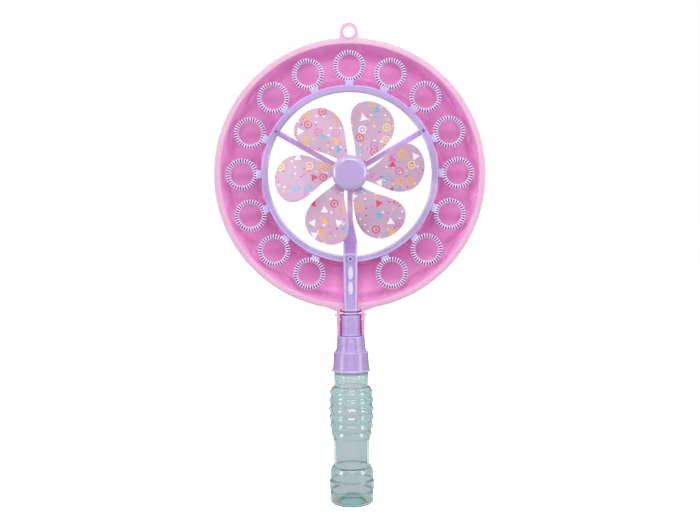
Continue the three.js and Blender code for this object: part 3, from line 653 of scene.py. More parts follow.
def calculated(tree, operation, *values):
    """One step of arithmetic on sockets or numbers."""
    node = tree.nodes.new("ShaderNodeMath")
    node.operation = operation
    for socket, value in zip(node.inputs, values):
        feed(tree, socket, value)
    return node.outputs["Value"]


def ranged(tree, value, low, high):
    """Maps noise from its usual span to low..high."""
    node = tree.nodes.new("ShaderNodeMapRange")
    node.inputs["From Min"].default_value = NOISE_LOW
    node.inputs["From Max"].default_value = NOISE_HIGH
    node.inputs["To Min"].default_value = low
    node.inputs["To Max"].default_value = high
    tree.links.new(value, node.inputs["Value"])
    return node.outputs["Result"]


def add_bump(tree, shader, height, strength, distance):
    bump = tree.nodes.new("ShaderNodeBump")
    bump.inputs["Strength"].default_value = strength
    bump.inputs["Distance"].default_value = distance
    tree.links.new(height, bump.inputs["Height"])
    tree.links.new(bump.outputs["Normal"], shader.inputs["Normal"])


def drifting_colour(tree, scale, dark, light):
    """A colour that drifts slowly between two tones."""
    return mixed_colour(tree, ranged(tree, noise(tree, scale), 0.0, 1.0), srgb(*dark), srgb(*light))


def uneven_gloss(tree, shader, scale, low, high):
    tree.links.new(ranged(tree, noise(tree, scale), low, high), shader.inputs["Roughness"])


def moulded_plastic(name, dark, light, roughness, glow=0.0, glow_radius=GLOW_RADIUS):
    """Satin moulded plastic: slow drifts of colour, uneven gloss and a faint surface grain."""
    material, tree, shader = new_material(name)
    tree.links.new(drifting_colour(tree, PLASTIC_DRIFT, dark, light), shader.inputs["Base Color"])
    uneven_gloss(tree, shader, PLASTIC_GLOSS, roughness - GLOSS_BELOW, roughness + GLOSS_ABOVE)
    add_bump(tree, shader, noise(tree, PLASTIC_GRAIN, GRAIN_DETAIL), GRAIN_STRENGTH, GRAIN_DEPTH)
    shader.inputs["IOR"].default_value = PLASTIC_IOR
    shader.inputs["Subsurface Weight"].default_value = glow
    shader.inputs["Subsurface Radius"].default_value = glow_radius
    shader.inputs["Subsurface Scale"].default_value = 1.0
    return material


def axis_distance(tree, near, far):
    """From 0 to 1 between two distances from the windmill's axis, in millimetres."""
    place = tree.nodes.new("ShaderNodeTexCoord")
    flat = tree.nodes.new("ShaderNodeVectorMath")
    flat.operation = "MULTIPLY_ADD"
    flat.inputs[1].default_value = (1, 0, 1)
    flat.inputs[2].default_value = (0, 0, -AXIS_Z * MM)
    tree.links.new(place.outputs["Object"], flat.inputs[0])
    distance = tree.nodes.new("ShaderNodeVectorMath")
    distance.operation = "LENGTH"
    tree.links.new(flat.outputs["Vector"], distance.inputs[0])
    span = tree.nodes.new("ShaderNodeMapRange")
    span.inputs["From Min"].default_value = near * MM
    span.inputs["From Max"].default_value = far * MM
    tree.links.new(distance.outputs["Value"], span.inputs["Value"])
    return span.outputs["Result"]


def graded_plastic(name, dark, light, outer, reach, roughness, glow):
    """Moulded plastic that changes to another colour away from the windmill's axis, as painted light and
    shade.
    """
    material = moulded_plastic(name, dark, light, roughness, glow)
    tree = material.node_tree
    base = tree.nodes["Principled BSDF"].inputs["Base Color"]
    inner = base.links[0].from_socket
    tree.links.new(mixed_colour(tree, axis_distance(tree, *reach), inner, srgb(*outer)), base)
    return material


def polished(material):
    """Adds a clear gloss that shows the lights sharply."""
    shader = material.node_tree.nodes["Principled BSDF"]
    shader.inputs["Coat Weight"].default_value = 1.0
    shader.inputs["Coat Roughness"].default_value = POLISH_ROUGHNESS


def lit_through(material, colour, strength):
    """Adds the light that comes through a thin wall from behind."""
    shader = material.node_tree.nodes["Principled BSDF"]
    shader.inputs["Emission Color"].default_value = srgb(*colour)
    shader.inputs["Emission Strength"].default_value = strength


def clear_bottle_plastic(name, face_on, edge_on, clearness):
    """Clear bottle plastic with a faint tint, deeper where the wall turns away."""
    material, tree, shader = new_material(name)
    facing = tree.nodes.new("ShaderNodeLayerWeight")
    facing.inputs["Blend"].default_value = BOTTLE_EDGE_BLEND
    tint = mixed_colour(tree, facing.outputs["Facing"], srgb(*face_on), srgb(*edge_on))
    tree.links.new(tint, shader.inputs["Base Color"])
    uneven_gloss(tree, shader, BOTTLE_GLOSS, *BOTTLE_ROUGHNESS)
    add_bump(tree, shader, noise(tree, BOTTLE_WAVES, GRAIN_DETAIL), BOTTLE_WAVE_STRENGTH, BOTTLE_WAVE_DEPTH)
    shader.inputs["IOR"].default_value = BOTTLE_IOR
    shader.inputs["Transmission Weight"].default_value = clearness
    return material


def wire_steel(name, dark, light):
    material, tree, shader = new_material(name)
    shader.inputs["Metallic"].default_value = 1.0
    tree.links.new(drifting_colour(tree, STEEL_DRIFT, dark, light), shader.inputs["Base Color"])
    uneven_gloss(tree, shader, STEEL_GLOSS, *STEEL_ROUGHNESS)
    return material


def confetti_cells(tree, cell, spread, shift):
    """Scattered motif places: the offset from the nearest one in millimetres, and two random numbers."""
    place = tree.nodes.new("ShaderNodeTexCoord")
    flat = tree.nodes.new("ShaderNodeMapping")
    flat.inputs["Rotation"].default_value = (math.pi / 2, 0, 0)
    flat.inputs["Location"].default_value = shift
    flat.inputs["Scale"].default_value = (1 / (cell * MM),) * 3
    tree.links.new(place.outputs["Object"], flat.inputs["Vector"])
    cells = tree.nodes.new("ShaderNodeTexVoronoi")
    cells.voronoi_dimensions = "2D"
    cells.inputs["Scale"].default_value = 1.0
    cells.inputs["Randomness"].default_value = spread
    tree.links.new(flat.outputs["Vector"], cells.inputs["Vector"])
    away = tree.nodes.new("ShaderNodeVectorMath")
    away.operation = "SUBTRACT"
    tree.links.new(flat.outputs["Vector"], away.inputs[0])
    tree.links.new(cells.outputs["Position"], away.inputs[1])
    grown = tree.nodes.new("ShaderNodeVectorMath")
    grown.operation = "SCALE"
    grown.inputs["Scale"].default_value = cell
    tree.links.new(away.outputs["Vector"], grown.inputs[0])
    chance = tree.nodes.new("ShaderNodeSeparateColor")
    tree.links.new(cells.outputs["Color"], chance.inputs["Color"])
    turn = tree.nodes.new("ShaderNodeVectorRotate")
    turn.rotation_type = "Z_AXIS"
    tree.links.new(grown.outputs["Vector"], turn.inputs["Vector"])
    tree.links.new(calculated(tree, "MULTIPLY", chance.outputs["Blue"], 2 * math.pi), turn.inputs["Angle"])
    offset = tree.nodes.new("ShaderNodeSeparateXYZ")
    tree.links.new(turn.outputs["Vector"], offset.inputs["Vector"])
    return offset.outputs["X"], offset.outputs["Y"], chance.outputs["Red"], chance.outputs["Green"]


def below(tree, value, limit):
    return calculated(tree, "LESS_THAN", value, limit)


def ring_motif(tree, x, y, radius, line):
    distance = calculated(tree, "SQRT", calculated(
        tree, "ADD", calculated(tree, "MULTIPLY", x, x), calculated(tree, "MULTIPLY", y, y)))
    from_line = calculated(tree, "ABSOLUTE", calculated(tree, "SUBTRACT", distance, radius))
    dot = below(tree, distance, radius / 3)
    return calculated(tree, "MAXIMUM", below(tree, from_line, line / 2), dot)


def plus_motif(tree, x, y, length, width):
    across = calculated(tree, "ABSOLUTE", x)
    upward = calculated(tree, "ABSOLUTE", y)
    longer = below(tree, calculated(tree, "MAXIMUM", across, upward), length / 2)
    thinner = below(tree, calculated(tree, "MINIMUM", across, upward), width / 2)
    return calculated(tree, "MULTIPLY", longer, thinner)


def triangle_motif(tree, x, y, inradius):
    slant = calculated(tree, "MULTIPLY", calculated(tree, "ABSOLUTE", x), math.sqrt(3) / 2)
    side = calculated(tree, "ADD", slant, calculated(tree, "MULTIPLY", y, 0.5))
    foot = calculated(tree, "MULTIPLY", y, -1.0)
    return below(tree, calculated(tree, "MAXIMUM", side, foot), inradius)


def dot_motif(tree, x, y, radius):
    square = calculated(tree, "ADD", calculated(tree, "MULTIPLY", x, x), calculated(tree, "MULTIPLY", y, y))
    return below(tree, square, radius * radius)


def chosen(tree, chance, low, high, motif):
    """A motif where a random number lies between low and high."""
    above = calculated(tree, "GREATER_THAN", chance, low)
    inside = calculated(tree, "MULTIPLY", above, below(tree, chance, high))
    return calculated(tree, "MULTIPLY", inside, motif)


def palette_colour(tree, chance, colours):
    ramp = tree.nodes.new("ShaderNodeValToRGB")
    ramp.color_ramp.interpolation = "CONSTANT"
    stops = ramp.color_ramp.elements
    for i, colour in enumerate(colours):
        if i < len(stops):
            stop = stops[i]
            stop.position = i / len(colours)
        else:
            stop = stops.new(i / len(colours))
        stop.color = srgb(*colour)
    tree.links.new(chance, ramp.inputs["Fac"])
    return ramp.outputs["Color"]


def printed_sheet(name, dark, light):
    """Glossy sheet with a confetti print of rings, triangles, plus signs and dots."""
    material, tree, shader = new_material(name)
    colour = drifting_colour(tree, SHEET_DRIFT, dark, light)
    x, y, kind, tone = confetti_cells(tree, SMALL_CELL, SMALL_SPREAD, SMALL_SHIFT)
    small = calculated(
        tree, "MAXIMUM",
        chosen(tree, kind, 0.0, DOT_CHANCE, dot_motif(tree, x, y, DOT_RADIUS)),
        chosen(tree, kind, DOT_CHANCE, MOTIF_CHANCE, plus_motif(tree, x, y, PLUS_LENGTH, PLUS_WIDTH)),
    )
    colour = mixed_colour(tree, small, colour, palette_colour(tree, tone, CONFETTI_COLOURS))
    x, y, kind, tone = confetti_cells(tree, LARGE_CELL, LARGE_SPREAD, LARGE_SHIFT)
    large = calculated(
        tree, "MAXIMUM",
        chosen(tree, kind, 0.0, CIRCLE_CHANCE, ring_motif(tree, x, y, CIRCLE_RADIUS, CIRCLE_LINE)),
        chosen(tree, kind, CIRCLE_CHANCE, MOTIF_CHANCE, triangle_motif(tree, x, y, TRIANGLE_INRADIUS)),
    )
    colour = mixed_colour(tree, large, colour, palette_colour(tree, tone, CONFETTI_COLOURS))
    tree.links.new(colour, shader.inputs["Base Color"])
    uneven_gloss(tree, shader, SHEET_GLOSS, *SHEET_ROUGHNESS)
    waves = noise(tree, SHEET_WAVES, SHEET_WAVE_DETAIL)
    add_bump(tree, shader, waves, SHEET_WAVE_STRENGTH, SHEET_WAVE_DEPTH)
    shader.inputs["Specular IOR Level"].default_value = SHEET_SPECULAR
    shader.inputs["Coat Weight"].default_value = SHEET_COAT
    shader.inputs["Coat Roughness"].default_value = SHEET_COAT_ROUGHNESS
    return material


LAVENDER = moulded_plastic("lavender_plastic", (178, 152, 211), (186, 162, 216), 0.27, 0.1)
# Lilac: a lighter copy of the lavender, painted as highlight on lips, edges, rails, bosses and stubs
HIGHLIGHT_LILAC = moulded_plastic("highlight_lilac_plastic", (198, 181, 229), (206, 191, 234), 0.2, 0.12)
# Pale lavender: a paler copy of the lavender, painted as highlight on the pads, the groove's key and the
# ring's inner wall
LIT_PALE_LAVENDER = moulded_plastic("lit_pale_lavender_plastic", (218, 209, 237), (226, 218, 241), 0.3, 0.12)
# Teeth painted near white, as if lit
LIT_TOOTH_WHITE = moulded_plastic("lit_tooth_white_plastic", (240, 238, 254), (248, 246, 255), 0.32, 0.1)
# Deep violet painted as the shade between the teeth
SHADE_VIOLET = moulded_plastic("shade_violet_plastic", (108, 0, 148), (120, 10, 158), 0.4)
# Violet painted as the shade in the stem's groove
GROOVE_SHADE_VIOLET = moulded_plastic("violet_plastic", (172, 134, 212), (180, 144, 217), 0.2, 0.2)
# The arms' violet, painted lighter towards the hub against the shadow of the blades
HUB_LIT_ARM_VIOLET = graded_plastic(
    "hub_lit_arm_violet_plastic", (230, 204, 252), (233, 210, 253), (190, 152, 219),
    (2 * cap_high.x, RING_INNER - BLOCK_LENGTH), 0.2, 1.0,
)
# The cap's lavender, painted lighter on its round edge as a highlight
EDGE_LIT_CAP_LAVENDER = graded_plastic(
    "edge_lit_cap_lavender_plastic", (177, 154, 208), (184, 163, 213), (206, 191, 234),
    (cap_high.x - CAP_EDGE, cap_high.x), 0.12, 0.1,
)
polished(EDGE_LIT_CAP_LAVENDER)
DOT_VIOLET = moulded_plastic("dot_violet_plastic", (116, 76, 172), (126, 86, 180), 0.36)
# Pink painted lighter towards the outer wall, as light coming through the thin wall
OUTWARD_LIT_PINK = graded_plastic(
    "pink_plastic", (229, 148, 207), (232, 154, 210), (247, 168, 219),
    (RING_OUTER + 2 * RIM_WIDTH, RIM_RADIUS - RIM_WIDTH - OUTER_WALL_LEAN), 0.24, 0.4,
)
# Pale pink painted on the rim and the cheeks' fronts, as light shining through them from behind
BACKLIT_PALE_PINK = moulded_plastic("backlit_pale_pink_plastic", (222, 176, 206), (227, 184, 211), 0.28, 0.25)
# Deep pink painted as the shade in the cradle's gap, with a painted glow below
GLOWING_SHADE_PINK = moulded_plastic(
    "glowing_shade_pink_plastic", (252, 120, 200), (254, 130, 205), 0.34, 1.0, CRADLE_GLOW_RADIUS
)
# Painted glow: emission that stands in for light coming through the cheeks
lit_through(GLOWING_SHADE_PINK, (224, 40, 146), 0.16)
# Near white painted as highlight on the dam and the nubs
HIGHLIGHT_PINK = moulded_plastic("highlight_pink_plastic", (246, 236, 243), (250, 242, 247), 0.34, 0.2)
WHITE = moulded_plastic("white_plastic", (226, 226, 226), (238, 238, 238), 0.5)
FOAM = moulded_plastic("white_foam", (222, 222, 220), (240, 240, 238), 0.75)
TEAL = clear_bottle_plastic("teal_bottle", (199, 207, 207), (172, 205, 203), 0.92)
DEEP_TEAL = clear_bottle_plastic("deep_teal_bottle", (176, 227, 224), (150, 216, 212), 0.92)
# Valley teal painted as a faint line of shade in the valleys between the ribs
VALLEY_SHADE_TEAL = clear_bottle_plastic("valley_shade_teal_bottle", (186, 205, 204), (164, 198, 196), 0.92)
HAZY_TEAL = clear_bottle_plastic("hazy_teal_bottle", (166, 190, 190), (150, 192, 191), 0.1)
STEEL = wire_steel("wire_steel", (176, 178, 182), (205, 207, 210))
BLUSH = printed_sheet("blush_sheet", (196, 160, 188), (203, 169, 196))


# Dish


def wall_profile():
    """The dish's wall in section, with the front's corners first and then the back's."""
    hole = RING_INNER + HOLE_MARGIN
    ridge_top = RING_BACK + CLEARANCE
    ridge = RING_OUTER + RIDGE_MARGIN
    floor = DISH_BACK - DISH_WALL
    corners = [
        (hole, ridge_top + SKIRT_LENGTH, EDGE_FILLET, EDGE_FILLET),
        (hole, ridge_top, HOLE_FILLET, EDGE_FILLET),
        (ridge, ridge_top, RIDGE_FILLET, EDGE_FILLET),
        (ridge + INNER_WALL_LEAN, floor, FLOOR_FILLET, FLOOR_FILLET + DISH_WALL),
        (WALL_TOP - OUTER_WALL_LEAN, floor, FLOOR_FILLET, FLOOR_FILLET + DISH_WALL),
        (WALL_TOP, RIM_FRONT, WALL_TOP_FILLET, EDGE_FILLET),
        (RIM_RADIUS, RIM_FRONT, RIM_FILLET, EDGE_FILLET),
        (RIM_RADIUS, RIM_FRONT + RIM_LIP, EDGE_FILLET, EDGE_FILLET),
    ]
    path = [Vector(corner[:2]) for corner in corners]
    normals = []
    for first, second in zip(path, path[1:]):
        along = (second - first).normalized()
        normals.append(Vector((-along.y, along.x)))
    outline = [corner[:3] for corner in corners]
    back = []
    for i, corner in enumerate(corners):
        before = normals[max(i - 1, 0)]
        after = normals[min(i, len(normals) - 1)]
        middle = (before + after).normalized()
        moved = path[i] + middle * (DISH_WALL / middle.dot(after))
        back.append((moved.x, moved.y, corner[3]))
    return outline + back[::-1]


def hang_tab():
    """A tab that widens towards the rim, with a raised bead round its hole."""
    half = TAB_WIDTH / 2
    wide = half + TAB_FLARE
    centre = dish_high.z - half
    foot = AXIS_Z + RIM_RADIUS - RIM_WIDTH / 2
    outline = [(-wide, foot), (wide, foot)]
    for step in range(SEGMENTS // 2 + 1):
        angle = math.pi * step / (SEGMENTS // 2)
        outline.append((half * math.cos(angle), centre + half * math.sin(angle)))
    back = RIM_FRONT + DISH_WALL
    tab = softened(plate(outline, RIM_FRONT, back), EDGE_ROUND)
    bead = rod(TAB_HOLE_RADIUS + TAB_BEAD_WIDTH, RIM_FRONT - TAB_BEAD_PROUD, back - DISH_WALL / 2, centre)
    hole = rod(TAB_HOLE_RADIUS, RIM_FRONT - OVERSHOOT, back + OVERSHOOT, centre)
    return cut(join(tab, softened(bead, EDGE_ROUND)), hole)


def trough_space():
    """The space in front of the trough's outer wall, up to the middle of that wall."""
    foot = WALL_TOP - OUTER_WALL_LEAN
    inner = foot - OUTER_WALL_LEAN
    half = DISH_WALL / 2
    floor = DISH_BACK - DISH_WALL
    return about_y(lathe([
        (inner, RIM_FRONT - OVERSHOOT),
        (WALL_TOP + half, RIM_FRONT - OVERSHOOT),
        (WALL_TOP + half, RIM_FRONT),
        (foot + half, floor),
        (inner, floor),
    ], DISH_SEGMENTS))


def cradle_outline(half, front):
    """Straight cheeks and a round back about the stem's axis, in X and Y."""
    outline = [(-half, front)]
    for step in range(FINE_SEGMENTS + 1):
        angle = math.pi * (1 - step / FINE_SEGMENTS)
        outline.append((half * math.cos(angle), half * math.sin(angle)))
    outline.append((half, front))
    return outline


def gusset(side, inner):
    """A thin web that runs from the rim's edge down to a cheek of the cradle."""
    outer = inner + GUSSET_REACH
    rim_edge = AXIS_Z - math.sqrt(RIM_RADIUS ** 2 - outer ** 2)
    foot = AXIS_Z - RIM_RADIUS
    outline = [
        (side * inner, foot - GUSSET_DROP),
        (side * outer, rim_edge + RIM_WIDTH / 4),
        (side * inner, foot + RIM_WIDTH / 2),
    ]
    return softened(plate(outline, RIM_FRONT + GUSSET_SETBACK, RIM_FRONT + DISH_WALL), EDGE_ROUND)


def dam_form():
    """A thin wall across the cradle, with a notch for the stem's groove."""
    top = DAM_BASE + DAM_THICKNESS
    dam = prism(cradle_outline(CRADLE_INSIDE + CRADLE_WALL / 2, RIM_FRONT), DAM_BASE, top)
    notch = cradle_outline(GROOVE_RADIUS + CLEARANCE, RIM_FRONT - OVERSHOOT)
    return softened(cut(dam, prism(notch, DAM_BASE - OVERSHOOT, top + OVERSHOOT)), FINE_ROUND)


def cradle_fittings():
    """The dam, then a gusset, an ear and a nub on each side."""
    outside = CRADLE_INSIDE + CRADLE_WALL
    middle = CRADLE_INSIDE + CRADLE_WALL / 2
    nub_top = DAM_BASE - NUB_DROP + NUB_SIZE
    fittings = [dam_form()]
    for side in (-1, 1):
        ear_ends = sorted((side * (outside - CRADLE_WALL / 2), side * (outside + EAR_REACH)))
        nub_ends = sorted((side * (BARREL_RADIUS + CLEARANCE), side * middle))
        ear = block(*ear_ends, RIM_FRONT, 0.0, DAM_BASE - EAR_HEIGHT, DAM_BASE)
        nub = block(*nub_ends, RIM_FRONT, RIM_FRONT + NUB_SIZE, nub_top - NUB_SIZE, nub_top)
        fittings += [gusset(side, middle), softened(ear, EDGE_ROUND), softened(nub, EDGE_ROUND)]
    return fittings


def dish_form():
    base = dish_low.z
    cradle_top = AXIS_Z - WALL_TOP + OUTER_WALL_LEAN
    trough = turned_on_axis(wall_profile(), DISH_SEGMENTS)
    cradle = prism(cradle_outline(CRADLE_INSIDE + CRADLE_WALL, RIM_FRONT), base, cradle_top)
    cradle = cut(softened(cradle, EDGE_ROUND), trough_space())
    inside = cradle_outline(CRADLE_INSIDE, RIM_FRONT - OVERSHOOT)
    opening = prism(inside, base - OVERSHOOT, AXIS_Z - RIM_RADIUS)
    slot = bar_half(cradle_top) + CLEARANCE
    bar_slot = block(-slot, slot, RIM_FRONT - OVERSHOOT, RING_BACK + CLEARANCE, base, cradle_top)
    return join(cut(join(trough, cradle, hang_tab()), opening, bar_slot), *cradle_fittings())


def dish_paint(face):
    """Pink painted lighter towards the outer wall in the trough, painted shade and glow in deep pink in the
    cradle, a painted backlit pale on the rim, a near-white painted highlight on the dam and the nubs.
    """
    centre = face.calc_center_bounds()
    if from_axis(centre) < WALL_TOP - EDGE_FILLET:
        return OUTWARD_LIT_PINK
    from_stem = math.hypot(centre.x, max(centre.y, 0.0))
    above_cradle = centre.z > AXIS_Z - RIM_RADIUS + PAINT_MARGIN
    if above_cradle or from_stem > CRADLE_INSIDE + PAINT_MARGIN:
        return BACKLIT_PALE_PINK
    above_dam = centre.z - DAM_BASE
    on_dam = -FINE_MARGIN < above_dam < DAM_THICKNESS + FINE_MARGIN
    on_nub = -FINE_MARGIN < above_dam + NUB_DROP < NUB_SIZE + FINE_MARGIN
    if (on_dam or on_nub) and from_stem < CRADLE_INSIDE - PAINT_MARGIN:
        return HIGHLIGHT_PINK
    return BACKLIT_PALE_PINK if centre.y < RIM_FRONT + PAINT_MARGIN else GLOWING_SHADE_PINK


def make_dish():
    dress_painted("dish", dish_form(), dish_paint, OUTWARD_LIT_PINK, BACKLIT_PALE_PINK, GLOWING_SHADE_PINK, HIGHLIGHT_PINK)


# Wand


def stem_turning():
    foot = BARREL_RADIUS + BARREL_FOOT
    return lathe(rounded([
        (0.0, stem_low.z),
        (BARREL_RADIUS, stem_low.z, SOFT_ROUND),
        (BARREL_RADIUS, BARREL_BASE),
        (foot, BARREL_BASE, FINE_ROUND),
        (foot, BARREL_BASE + BARREL_FOOT, EDGE_ROUND),
        (BARREL_RADIUS, BARREL_BASE + BARREL_FOOT_TOP, FULL_ROUND),
        (BARREL_RADIUS, GROOVE_BASE, SOFT_ROUND),
        (GROOVE_RADIUS, GROOVE_BASE, EDGE_ROUND),
        (GROOVE_RADIUS, FLANGE_BASE, EDGE_ROUND),
        (FLANGE_RADIUS, FLANGE_BASE, SOFT_ROUND),
        (FLANGE_RADIUS, FLANGE_TOP, FULL_ROUND),
        (0.0, FLANGE_TOP),
    ]), SEGMENTS)


def bar_half(height):
    """Half the width of the bar, which narrows towards its foot."""
    length = ring_low.z - FLANGE_BASE - FLANGE_THICKNESS
    return BAR_WIDTH / 2 - BAR_TAPER * (ring_low.z - height) / length


def arched_outline(inset, bottom):
    """The bar's outline, which runs up over the ring and ends in a flat arch."""
    shoulder = stem_high.z - inset - HEAD_ARCH
    low = bar_half(bottom) - inset
    high = bar_half(shoulder) - inset
    outline = [(-low, bottom), (low, bottom)]
    for step in range(FINE_SEGMENTS + 1):
        angle = math.pi * step / FINE_SEGMENTS
        rise = HEAD_ARCH * math.sin(angle) ** HEAD_ARCH_POWER
        outline.append((high * math.cos(angle), shoulder + rise))
    return outline


def stem_pad(height):
    outline = ellipse(0.0, height, PAD_WIDTH / 2, PAD_LENGTH / 2, FINE_SEGMENTS)
    return softened(plate(outline, CHANNEL_FLOOR - PAD_PROUD, CHANNEL_FLOOR + PAD_PROUD), EDGE_ROUND)


def groove_key():
    """A thin key that crosses the groove and fills the notch of the dish's dam."""
    middle = FLANGE_BASE - GROOVE_HEIGHT / 2
    half = KEY_THICKNESS / 2
    front = -(GROOVE_RADIUS + KEY_REACH)
    key = block(-GROOVE_RADIUS, GROOVE_RADIUS, front, 0.0, middle - half, middle + half)
    return softened(key, FINE_ROUND)


def stem_form():
    back_top = ring_low.z - CLEARANCE
    head_back = RING_FRONT - RING_LIP - CLEARANCE
    pin_height = AXIS_Z - PIN_CIRCLE
    low = bar_half(FLANGE_BASE)
    high = bar_half(back_top)
    spine = plate(
        [(-low, FLANGE_BASE), (low, FLANGE_BASE), (high, back_top), (-high, back_top)],
        head_back - CLEARANCE, RING_BACK,
    )
    head = plate(arched_outline(0.0, FLANGE_BASE), BAR_FACE, head_back)
    channel = plate(arched_outline(BAR_RAIL, FLANGE_TOP), BAR_FACE - OVERSHOOT, CHANNEL_FLOOR)
    bar = softened(cut(join(head, spine), channel), SOFT_ROUND, FULL_BEVEL_STEPS)
    boss = softened(rod(BOSS_RADIUS, BAR_FACE, (CHANNEL_FLOOR + head_back) / 2, pin_height), EDGE_ROUND)
    first_pad = back_top - 2 * BAR_RAIL - PAD_LENGTH / 2
    pads = [stem_pad(first_pad - i * PAD_PITCH) for i in range(PAD_COUNT)]
    hole = rod(PIN_RADIUS + CLEARANCE, BAR_FACE - OVERSHOOT, head_back + OVERSHOOT, pin_height)
    return cut(join(stem_turning(), groove_key(), bar, boss, *pads), hole)


def bar_paint(centre):
    """Painted highlight in lilac on the rails and boss, a paler painted highlight on the pads, and a
    lavender channel.
    """
    if centre.y > CHANNEL_FLOOR - PAINT_MARGIN:
        return LAVENDER
    if math.hypot(centre.x, centre.z - AXIS_Z + PIN_CIRCLE) < BOSS_RADIUS + FINE_MARGIN:
        return HIGHLIGHT_LILAC
    in_channel = centre.y > BAR_FACE + RAIL_BAND
    on_pad = in_channel and abs(centre.x) < PAD_WIDTH / 2 + PAINT_MARGIN
    return LIT_PALE_LAVENDER if on_pad else HIGHLIGHT_LILAC


def stem_paint(face):
    """The bar's colours, then painted highlight in lilac on the flange edges, painted shade in violet in
    the groove with a pale painted highlight on the key, and lavender.
    """
    centre = face.calc_center_bounds()
    radius = math.hypot(centre.x, centre.y)
    if centre.z > FLANGE_TOP + PAINT_MARGIN:
        return bar_paint(centre)
    if centre.z > FLANGE_BASE:
        return HIGHLIGHT_LILAC if radius > FLANGE_RADIUS - LIP_BAND else LAVENDER
    if centre.z > GROOVE_BASE + FINE_MARGIN:
        return LIT_PALE_LAVENDER if centre.y < -GROOVE_RADIUS - PAINT_MARGIN else GROOVE_SHADE_VIOLET
    on_lip = centre.z > GROOVE_BASE - FULL_ROUND and radius > BARREL_RADIUS - LIP_BAND
    return HIGHLIGHT_LILAC if on_lip else LAVENDER


def arm_angle(arm):
    return -math.pi / 2 + arm * 2 * math.pi / ARM_COUNT


def about_axis(bm, angle):
    """Turns a form made along +X about the windmill's axis."""
    return lifted(turned_about_y(bm, angle), z=AXIS_Z)


def ring_form():
    face_back = RING_FRONT + RING_FACE
    ring = turned_on_axis([
        (RING_INNER, RING_FRONT + RING_CHAMFER, SOFT_ROUND),
        (RING_INNER + RING_CHAMFER, RING_FRONT, SOFT_ROUND),
        (RING_OUTER - RING_LIP_WIDTH - RING_LIP, RING_FRONT, EDGE_ROUND),
        (RING_OUTER - RING_LIP_WIDTH, RING_FRONT - RING_LIP, EDGE_ROUND),
        (RING_OUTER, RING_FRONT - RING_LIP, SOFT_ROUND),
        (RING_OUTER, RING_BACK, EDGE_ROUND),
        (RING_OUTER - RING_WALL, RING_BACK, EDGE_ROUND),
        (RING_OUTER - RING_WALL, face_back, SOFT_ROUND),
        (RING_INNER + RING_WALL, face_back, SOFT_ROUND),
        (RING_INNER + RING_WALL, RING_BACK, EDGE_ROUND),
        (RING_INNER, RING_BACK, EDGE_ROUND),
    ], DISH_SEGMENTS)
    half = TONGUE_WIDTH / 2 + CLEARANCE
    notches = []
    for arm in range(ARM_COUNT):
        notch = block(RING_INNER - OVERSHOOT, PIN_CIRCLE, face_back, RING_BACK + OVERSHOOT, -half, half)
        notches.append(about_axis(notch, arm_angle(arm)))
    return cut(ring, *notches)


def ring_paint(face):
    """Painted highlight in lilac on the lip round the outside, and a paler painted highlight on the wall
    round the inside.
    """
    radius = from_axis(face.calc_center_bounds())
    if radius < RING_INNER + RING_CHAMFER / 2:
        return LIT_PALE_LAVENDER
    return HIGHLIGHT_LILAC if radius > RING_OUTER - RING_LIP_WIDTH - RING_LIP else LAVENDER


def tooth_form():
    """An upright disc across the loop's core, along +X: an ellipse in depth and distance."""
    middle = (LOOP_INNER + LOOP_OUTER) / 2
    reach = (LOOP_OUTER - LOOP_INNER) / 2
    outline = ellipse(middle, 0.0, reach, LOOP_DEPTH / 2, TOOTH_STEPS)
    return softened(prism(outline, -TOOTH_WIDTH / 2, TOOTH_WIDTH / 2), TOOTH_ROUND)


def loop_form():
    """A core ring with teeth across it, and a stub that runs back to the wand's ring, along +X."""
    core_half = CORE_DEPTH / 2
    core = lathe(rounded([
        (CORE_INNER, -core_half, SOFT_ROUND),
        (CORE_OUTER, -core_half, SOFT_ROUND),
        (CORE_OUTER, core_half, SOFT_ROUND),
        (CORE_INNER, core_half, SOFT_ROUND),
    ]), SEGMENTS)
    core.transform(Matrix.Rotation(-math.pi / 2, 4, "X"))
    teeth = [
        turned_about_y(tooth_form(), 2 * math.pi * (tooth + 0.5) / LOOP_TEETH)
        for tooth in range(LOOP_TEETH)
    ]
    stub_depth = LOOP_DEPTH / 2 - STUB_SETBACK
    near = -(CORE_INNER + CORE_OUTER) / 2
    far = -(LOOP_OUTER + STUB_LENGTH - CLEARANCE)
    stub = block(far, near, -stub_depth, stub_depth, -STUB_WIDTH / 2, STUB_WIDTH / 2)
    return join(core, softened(stub, STUB_ROUND), *teeth)


def loop_paint(face):
    """Teeth painted near white as lit, the core between them painted deep violet as shade, and a lilac
    painted highlight on the stub.
    """
    centre = face.calc_center_bounds()
    if centre.x < -CORE_OUTER and abs(centre.z) < STUB_WIDTH / 2 + FINE_MARGIN:
        return HIGHLIGHT_LILAC
    pitch = 2 * math.pi / LOOP_TEETH
    turn = math.atan2(centre.z, centre.x) / pitch
    from_tooth = abs(turn - math.floor(turn) - 0.5) * pitch * math.hypot(centre.x, centre.z)
    return LIT_TOOTH_WHITE if from_tooth < TOOTH_WIDTH / 2 + TOOTH_MARGIN else SHADE_VIOLET


def make_loops():
    materials = (LIT_TOOTH_WHITE, SHADE_VIOLET, HIGHLIGHT_LILAC)
    base = loop_form()
    paint(base, materials, loop_paint)
    reach = top_loop_high.z - LOOP_OUTER - AXIS_Z
    for station in range(1, LOOP_STATIONS):
        angle = -math.pi / 2 + station * 2 * math.pi / LOOP_STATIONS
        loop = turned_about_y(base.copy(), angle)
        lifted(loop, reach * math.cos(angle), 0.0, AXIS_Z + reach * math.sin(angle))
        dress(f"bubble_loop_{station:02d}", loop, *materials)
    base.free()


